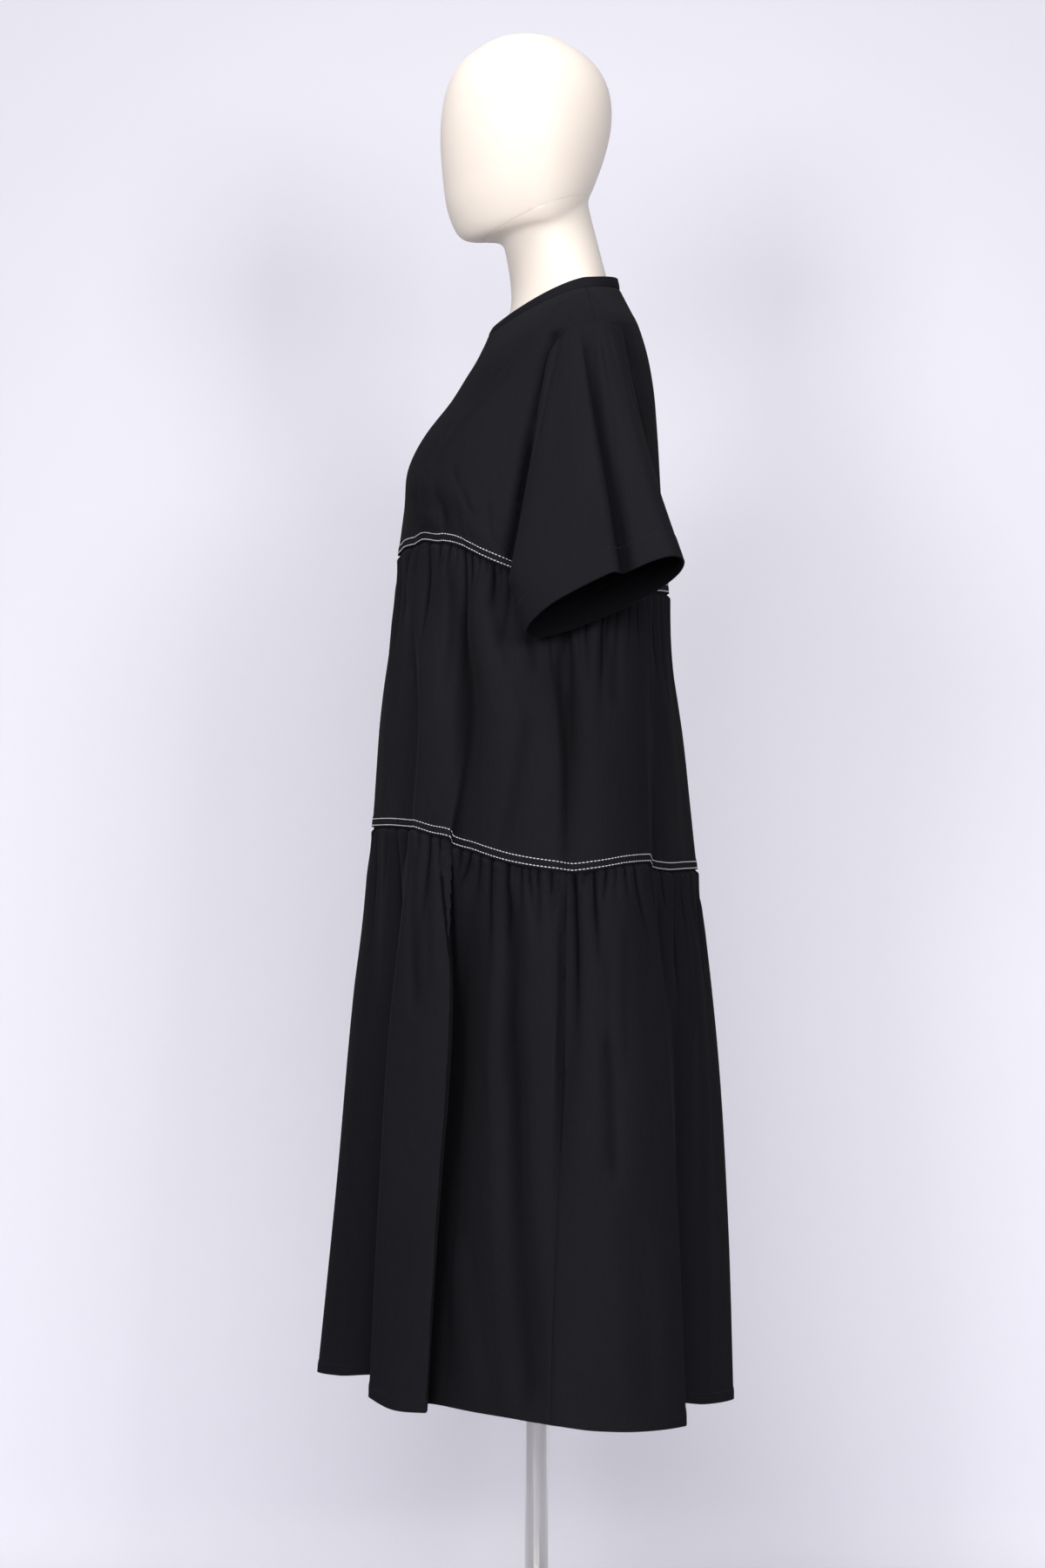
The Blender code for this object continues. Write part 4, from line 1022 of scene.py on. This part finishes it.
LOWER_TWO_THIRDS_PLAN = (
    (90, 20, 0, -0.5), (81, -0.5, -9, 1), (73.5, -22, -18.5, 8.5), (58, 10.5, -24, 5.5),
    (51, -1.5, -22.5, 0.5), (44.5, -17.5, -22, 2), (37, -43, 39.5, 6), (32, -50.5, 35, 6.5),
    (17, -34, 15, 5.5), (2.5, -11.5, 3.5, 3), (0, -10, 1.5, 2), (-3.5, -4, -0.5, 1),
    (-12.5, 10, -3, 0), (-24.5, 19, -5.5, 0.5), (-38, 18, -4.5, 2.5), (-56, -18, 7.5, 9),
    (-67, -10.5, 8.5, 4), (-80.5, 1.5, 4, 1.5), (-90, 12, 0, 0.5),
)
HEM_PLAN = (
    (90, 26, 0, 1), (81.5, 2, -3.5, 2.5), (74, -29.5, -14.5, 9.5), (58, 5.5, -17.5, 1.5),
    (50.5, -1.5, -19.5, -5), (43.5, -16.5, -20, -3), (36.5, -39.5, 38, 5.5), (30, -47, 32, 6.5),
    (14.5, -36.5, 8, 7), (3, -12.5, -0.5, 5.5), (0, -6, -0.5, 4.5), (-4, 1, 0, 3.5),
    (-11.5, 12.5, -2, 0), (-23, 27, -2.5, -1.5), (-38.5, 26.5, -0.5, 0), (-61, -27, 14.5, 13.5),
    (-72, -15.5, 13.5, 7), (-83, 1, 2.5, 2.5), (-90, 10.5, 0, 1.5),
)
LOWER_CRISP = (0, 0.2, 0.2, 0.8, 0, 0.8, 0.3, 0, 0, 0, 0.4, 0, 0, 0, 0.8, 0.3, 0.4, 0, 0)
LOWER_CREASES = (
    ((0.06, 16.5), (0.32, 16.0), 26.0, -7.0),
    ((0.32, 16.0), (0.66, 11.5), 34.0, -10.0),
    ((0.66, 11.5), (0.98, 6.0), 36.0, -8.5),
    ((0.04, 22.0), (0.40, 21.5), 16.0, 2.5),
    ((0.30, -13.5), (0.55, -15.5), 15.0, -3.5),
    ((0.10, -17.0), (0.34, -16.0), 13.0, 2.5),
    ((0.02, -64.8), (0.30, -64.0), 12.0, 3.5),
    ((0.02, 54.0), (0.30, 52.0), 14.0, -3.0),
    ((0.03, 45.0), (0.26, 47.0), 13.0, 2.5),
    ((0.72, 30.0), (0.97, 22.0), 30.0, 3.0),
    ((0.60, -22.0), (0.97, -26.0), 34.0, -3.5),
)
LOWER_GATHERS = (
    (82.8, 129, 2.0, -1.6), (74.2, 74, 1.6, 2), (68.8, 160, 3.0, -2), (61.5, 46, 1.8, 3),
    (50.5, 53, 1.6, 2.7), (47.2, 101, 2.2, 4.6), (44, 41, 2.2, 1), (40.2, 122, 4.0, 2.5),
    (35.2, 34, 1.8, 0.8), (31.8, 44, 2.4, 3.7), (28, 46, 2.0, 1.2), (24, 120, 3.2, -1.5),
    (18.5, 90, 3.2, 0), (16.2, 25, 1.6, -0.2), (14.2, 48, 2.6, 0), (11.8, 62, 2.6, -2.8),
    (8.8, 74, 2.6, -0.8), (4.8, 78, 2.8, -1.8), (2.2, 28, 1.8, -1.4), (-2.2, 207, 4.2, -0.3),
    (-6.2, 28, 2.4, 2), (-7.8, 30, 1.6, 0.3), (-9.8, 97, 3.4, -1), (-14, 46, 2.4, 1.8),
    (-17.5, 32, 1.6, 0.7), (-21.2, 34, 2.0, -0.6), (-25.8, 67, 2.4, -4.4), (-35, 104, 3.4, -7),
    (-45, 46, 2.2, -4.2), (-54.2, 120, 4.0, -1.3), (-61, 60, 2.2, -1), (-66.5, 46, 2.2, -3.5),
    (-73.5, 76, 2.4, -2.3), (-81, 120, 3.0, 0),
)
LOWER_COLUMNS = 425
LOWER_GIRTH = 1.60
LOWER_WAVES = 29
HEM_ROWS = np.array((0.0, 0.5, 1.6, 3.6, 6.4, 9.4, 10.2, 11.0, 11.8, 12.8, 15.5, 19.0)) * MM
HEM_STITCH = 11.0 * MM
HEM_DEPTH = 11.6 * MM
HEM_RIPPLE = 0.25 * MM      # of the turned cloth between the hem's stitches and its edge
HEM_RIPPLES = 300

knee_gathers = all_gathers(LOWER_GATHERS, KNEE_GATHERS, 23)
lower = planned(section_surface(LOWER_SECTIONS), lambda angle, t: relief(
    ((0, KNEE_PLAN), (0.33, LOWER_THIRD_PLAN), (0.67, LOWER_TWO_THIRDS_PLAN), (1, HEM_PLAN)),
    LOWER_CRISP, angle, t))
LOWER_CUT = (1.06, 0.60)
lower_rows = spaced_rows(LOWER_LENGTH, 7.5 * MM, HEM_ROWS)
hem_rows = []
for half in ("front", "back"):
    points, out, height, from_edge, shares = tier_panel(
        lower, half == "front", LOWER_COLUMNS, lower_rows, LOWER_LENGTH, knee_gathers,
        LOWER_GIRTH, LOWER_WAVES, LOWER_CREASES, "hem")
    height = height + groove(from_edge, HEM_STITCH)
    ripple = HEM_RIPPLE * np.cos(2 * np.pi * HEM_RIPPLES * shares)
    height = height + ripple * bump((from_edge - 8 * MM) / (6 * MM))
    points = points + out * height[..., None]
    points, out = roll_in(points, out)
    hem_rows.append(("hem_" + half, points[-8, 1:-1], out[-8, 1:-1]))
    layers = edge_layers(len(points), HEM_ROWS, HEM_DEPTH)
    piece = cloth_piece("lower_tier_" + half + "_cloth", points, LOWER_CUT, layers)
    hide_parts("lower_tier_" + half)

# ---------------------------------------------------------------- sleeves
# Each short sleeve is one width of poplin, set into the armhole and joined under the
# arm.  It hangs flat in front, with one long fold on its outer side, and ends in a
# 30 mm hem stitched with black thread.
CUFF_CENTRE = np.array((0.3080, 0.0687, 1.1490))
CUFF_TO_OUTER = np.array((0.0388, 0.0040, 0.0200))
CUFF_TO_FRONT = np.array((-0.0050, -0.0794, -0.0330))
CUFF_SQUARE = 0.88
SLEEVE_START = 0.6 * MM
SLEEVE_BOW = 8 * MM
ELBOW_SHARE = 0.82
ELBOW_REACH = 23.5 * MM
BACK_HOLLOW = 5 * MM
EDGE_SPREAD = 60.0
SLEEVE_FOLDS = (
    # degrees round at top, middle, bottom; widths before and after, top and bottom;
    # heights in mm; crispness; lean toward the front in mm
    ((21.0, 7.0, -1.0), (50, 50), (9, 9), (1.5, 4.0, 6.0), 0.4, -2.5),
    ((13.0, -1.0, -8.5), (8, 8), (28, 30), (-2.0, -5.0, -6.5), 0.1, 2.0),
    ((-36.0, -42.0, -50.0), (14, 18), (14, 18), (-1.5, 0.5, 2.0), 0.1, 0.0),
    ((34.0, 36.0, 40.0), (28, 28), (28, 28), (0.0, 1.0, 2.0), 0.0, 0.0),
    ((-13.0, -15.0, -15.0), (5, 7), (5, 7), (-2.2, -0.8, 0.0), 0.2, 0.0),
)
SLEEVE_FRONT = ((0.00, 0.17), (0.25, 0.215), (0.50, 0.62))
SLEEVE_BACK = ((0.50, 0.62), (0.75, 0.182), (1.00, 0.17))
SLEEVE_CUT = (0.42, 0.26)
SLEEVE_HEM_ROWS = np.array((0.0, 0.6, 2.0, 5.0, 9.0, 14.0, 20.0, 26.0, 28.4, 29.0, 29.6, 30.4,
                            32.0, 35.0)) * MM
SLEEVE_STITCH = 29.0 * MM
CAP_HEIGHT = 1.8 * MM       # the swelling below the shoulder seam, and where it lies
CAP_BELOW = 7 * MM
CAP_WIDTH = 8 * MM
CAP_SPREAD = 110


def read_linear(pairs, x):
    """A two-column table read along straight lines."""
    return np.interp(x, [pair[0] for pair in pairs], [pair[1] for pair in pairs])


def armhole_point(share, inward=0.0):
    """A point of the armhole at a share of the way round, from the shoulder forward."""
    share = np.asarray(share, float) % 1.0
    is_front = share <= 0.5
    t = np.where(is_front, read_linear(SLEEVE_FRONT, share), read_linear(SLEEVE_BACK, share))
    cut = read_table(ARMHOLE, t)
    angle = np.where(is_front, cut[..., 0], -cut[..., 1])
    out = directions(bodice, angle, t)[0]
    return bodice(angle, t) + out * (SLEEVE_START - inward)


def cuff_point(share):
    around = 2 * np.pi * share
    cosine, sine = np.cos(around), np.sin(around)
    outward = np.sign(cosine) * np.abs(cosine) ** CUFF_SQUARE
    forward = np.sign(sine) * np.abs(sine) ** CUFF_SQUARE
    return CUFF_CENTRE + outward[..., None] * CUFF_TO_OUTER + forward[..., None] * CUFF_TO_FRONT


def sleeve_surface(angle, t):
    """The left sleeve, from armhole to cuff, bowed, with its long folds."""
    def ruled(angle, t):
        angle, t = np.broadcast_arrays(np.asarray(angle, float), np.asarray(t, float))
        share = angle / 360.0
        down = t[..., None]
        point = armhole_point(share) * (1 - down) + cuff_point(share) * down
        outer = np.maximum(np.cos(2 * np.pi * share), 0.0)
        point[..., 0] += SLEEVE_BOW * outer * np.sin(np.pi * t)
        reach = np.where(t < ELBOW_SHARE, t / ELBOW_SHARE, (1 - t) / (1 - ELBOW_SHARE))
        point[..., 1] -= ELBOW_REACH * reach * bump(turn(angle - 90.0) / EDGE_SPREAD)
        point[..., 1] -= BACK_HOLLOW * np.sin(np.pi * t) * bump(turn(angle + 90.0) / EDGE_SPREAD)
        return point

    def shape(angle, t):
        height, lean = fold_shape(SLEEVE_FOLDS, angle, t)
        full = smooth(t / 0.12)
        return height * full, lean * full
    return folded(ruled, shape)(angle, t)


sleeve_angle = np.linspace(0.0, 360.0, 181)
sleeve_angle = sleeve_angle + 9.0 * np.sin(np.radians(2 * sleeve_angle + 20))
sleeve_angle = np.concatenate((sleeve_angle[:-1], [sleeve_angle[0] + 360.0]))


def beside_fold(angle, t):
    """Angles of the sleeve's columns, which follow its long fold down."""
    line = three(SLEEVE_FOLDS[0][0], t)
    return angle + (line - SLEEVE_FOLDS[0][0][1]) * bump(turn(angle - line[0]) / 80.0)


edge_angle = beside_fold(sleeve_angle, np.ones(1))
edge_t = t_from_edge(sleeve_surface, edge_angle, SLEEVE_HEM_ROWS)[::-1]
upper_t = np.concatenate(((0.002, 0.006, 0.012, 0.02, 0.03), np.linspace(0.045, 0.84, 58)))
gap_t = 0.84 + (edge_t[0][None, :] - 0.84) * np.array((0.4, 0.75))[:, None]
sleeve_t = np.concatenate((np.repeat(upper_t[:, None], len(sleeve_angle), 1), gap_t, edge_t))
sleeve_t = np.sort(sleeve_t, axis=0)
column_angle = beside_fold(sleeve_angle[None, :], sleeve_t)
points = sleeve_surface(column_angle, sleeve_t)
out = directions(sleeve_surface, column_angle, sleeve_t)[0]
from_edge = np.full(sleeve_t.shape, 1.0)
from_edge[-len(SLEEVE_HEM_ROWS):] = SLEEVE_HEM_ROWS[::-1, None]
height = groove(from_edge, SLEEVE_STITCH)
on_top = bump(turn(sleeve_angle) / CAP_SPREAD)[None, :]
height = height + CAP_HEIGHT * bump((arc(points, 0) - CAP_BELOW) / CAP_WIDTH) * on_top
points = points + out * height[..., None]
cuff_line, cuff_out = points[-10], out[-10]
inner = armhole_point(column_angle[0] / 360.0, inward=3.5 * MM)[None, :]
points = np.concatenate((inner, points))
layers = edge_layers(len(points), SLEEVE_HEM_ROWS, SLEEVE_STITCH)
sleeve_grid = {"left": points, "right": (points * (-1.0, 1.0, 1.0))[:, ::-1]}
for side in ("left", "right"):
    piece = cloth_piece("sleeve_" + side + "_cloth", sleeve_grid[side], SLEEVE_CUT, layers,
                        closed=True)
    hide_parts("sleeve_" + side)

# ---------------------------------------------------------------- stitching
# Twin rows of light grey topstitch run above both gathered seams.  The hems, the cuffs
# and the neck are stitched in black.  Each stitch is a short length of thread that
# dips into the cloth at both ends.
STITCH_PITCH = 4.0 * MM
STITCH_LENGTH = 3.5 * MM
STITCH_DIP = 0.45 * MM      # how far its ends go down
TOP_THREAD = 0.50 * MM      # radius
BLACK_THREAD = 0.24 * MM



def thread(name, low, high, **fixed):
    """Sewing thread, with a colour that is a little uneven."""
    made = Finish(name, **fixed)
    place = made.coordinates("Object", (700.0, 700.0, 700.0))
    made.surface({"Base Color": made.mix(made.noise(place, 1.0, 2.0), low, high)})
    return made


light_thread = thread("light_thread", (0.42, 0.42, 0.43), (0.66, 0.66, 0.67),
                      Roughness=0.6, Sheen_Weight=0.2)
black_thread = thread("black_thread", (0.006, 0.006, 0.007), (0.015, 0.015, 0.018),
                      Roughness=0.55, Specular_IOR_Level=0.25)

bpy.ops.object.select_all(action="DESELECT")
bpy.ops.mesh.primitive_uv_sphere_add(segments=6, ring_count=5, radius=1.0)
one_stitch = bpy.context.object
activate(one_stitch)
bpy.ops.object.mode_set(mode="EDIT")
bpy.ops.mesh.select_all(action="SELECT")
bpy.ops.transform.rotate(value=math.pi / 2, orient_axis="Y", center_override=(0, 0, 0))
bpy.ops.object.mode_set(mode="OBJECT")


def sew(name, line, out, thread, radius, lift):
    """A row of stitches along a line on the cloth, as one piece."""
    lengths = arc(line, 0)
    count = int(lengths[-1] / STITCH_PITCH)
    centre = (np.arange(count) + 0.5) * lengths[-1] / count
    half = STITCH_LENGTH / 2

    def at(distance, values):
        return np.stack([np.interp(distance, lengths, values[:, k]) for k in range(3)], axis=-1)
    middle, normal = at(centre, line), unit(at(centre, out))
    along = unit(at(centre + half, line) - at(centre - half, line))
    across = unit(np.cross(normal, along))
    normal = np.cross(along, across)
    x, y, z = np.array([corner.co for corner in one_stitch.data.vertices]).T
    x = np.sign(x) * np.abs(x) ** 0.6
    places = (middle[:, None, :]
              + along[:, None, :] * (x * half)[None, :, None]
              + across[:, None, :] * (y * radius)[None, :, None]
              + normal[:, None, :] * (z * radius * 0.8 + lift - STITCH_DIP * x ** 4)[None, :, None])
    row = bpy.data.objects.new(name, one_stitch.data.copy())
    bpy.context.collection.objects.link(row)
    apply_modifier(row, "ARRAY", count=count, relative_offset_displace=(1.5, 0.0, 0.0))
    row.data.vertices.foreach_set("co", places.reshape(-1))
    finish_piece(row, name, thread, 80.0)
    return row


for name, line, out in stitch_rows:
    sew("topstitch_" + name, line, out, light_thread, TOP_THREAD, LAYERS / 2 + 0.1 * MM)
for name, line, out in hem_rows:
    sew(name + "_stitch", line, out, black_thread, BLACK_THREAD, LAYERS / 2 - 0.1 * MM)
for side, mirror in (("left", 1.0), ("right", -1.0)):
    sew("cuff_stitch_" + side, cuff_line * (mirror, 1, 1), cuff_out * (mirror, 1, 1),
        black_thread, BLACK_THREAD, LAYERS / 2 - 0.1 * MM)
neck_angles = even_angle(np.linspace(-0.5, 0.5, 601))
sew("neck_stitch", bodice(neck_angles, 0.012), directions(bodice, neck_angles, 0.012)[0],
    black_thread, BLACK_THREAD, CLOTH / 2)
bpy.data.objects.remove(one_stitch, do_unlink=True)

# ---------------------------------------------------------------- studio
# A pale floor that curves up into a backdrop, and large soft lights.  The paper has no
# back, so that it doesn't stand in front of the dress in the views from its other side.
WALL_BEHIND = 0.75
WALL_HEIGHT = 4.0
FLOOR_DEPTH, FLOOR_WIDTH = 9.0, 16.0
backdrop = Finish("studio_paper", Specular_IOR_Level=0.1)
paper_cloud = backdrop.noise(backdrop.coordinates("Object", (0.5, 0.5, 0.5)), 1.0, 2.0)
backdrop.surface({
    "Base Color": backdrop.mix(paper_cloud, (0.725, 0.717, 0.775), (0.755, 0.747, 0.805)),
    "Roughness": paper_cloud * 0.1 + 0.85,
    "Alpha": 1.0 - backdrop.node("ShaderNodeNewGeometry", output="Backfacing"),
})
bpy.ops.object.select_all(action="DESELECT")
bpy.ops.mesh.primitive_plane_add(size=1.0)
studio = bpy.context.object
studio.name = "studio_cove"
activate(studio)
bpy.ops.object.mode_set(mode="EDIT")
bpy.ops.mesh.select_all(action="SELECT")
bpy.ops.transform.resize(value=(FLOOR_DEPTH, FLOOR_WIDTH, 1.0))
bpy.ops.transform.translate(value=(FLOOR_DEPTH / 2 - WALL_BEHIND, 0.0, 0.0))
bpy.ops.mesh.select_all(action="DESELECT")
select_where(studio, "edges", lambda edge: all(
    corner.co.x < 0.01 - WALL_BEHIND for corner in edge.verts))
bpy.ops.mesh.extrude_edges_move(TRANSFORM_OT_translate={"value": (0, 0, WALL_HEIGHT)})
bpy.ops.object.mode_set(mode="OBJECT")
apply_modifier(studio, "BEVEL", width=0.10, segments=8, limit_method="ANGLE")
activate(studio)
bpy.ops.object.transform_apply(location=True, rotation=True, scale=True)
bpy.ops.object.shade_smooth()
studio.data.materials.append(backdrop.material)

world = bpy.data.worlds.new("studio_air")
bpy.context.scene.world = world
world.use_nodes = True
world.node_tree.nodes["Background"].inputs["Color"].default_value = (0.90, 0.91, 1.0, 1.0)
world.node_tree.nodes["Background"].inputs["Strength"].default_value = 0.18

LIGHTS = (
    # name, place, aim, width, height, watts, spread in degrees
    ("camera_side_panel", (5.7, 0.0, 2.5), (0.0, 0.0, 1.0), 3.6, 2.2, 62.0, 100),
    ("front_softbox", (4.8, -2.0, 2.2), (0.0, 0.0, 1.0), 1.2, 1.5, 20.0, 80),
    ("back_softbox", (4.8, 1.9, 2.2), (0.0, 0.0, 1.0), 1.2, 1.5, 18.5, 80),
    ("top_softbox", (0.7, -0.35, 3.1), (0.05, 0.0, 1.3), 0.8, 0.8, 3.0, 50),
)
for name, place, aim, width, height, watts, spread in LIGHTS:
    bpy.ops.object.light_add(type="AREA", location=place)
    lamp = bpy.context.object
    lamp.name = name
    lamp.data.shape = "RECTANGLE"
    lamp.data.size, lamp.data.size_y = width, height
    lamp.data.energy = watts
    lamp.data.spread = math.radians(spread)
    lamp.visible_camera = False
    direction = np.array(aim) - np.array(place)
    lamp.rotation_euler = (math.atan2(math.hypot(direction[0], direction[1]), -direction[2]), 0,
                           math.atan2(direction[1], direction[0]) - math.pi / 2)
bpy.context.scene.view_settings.view_transform = "Standard"
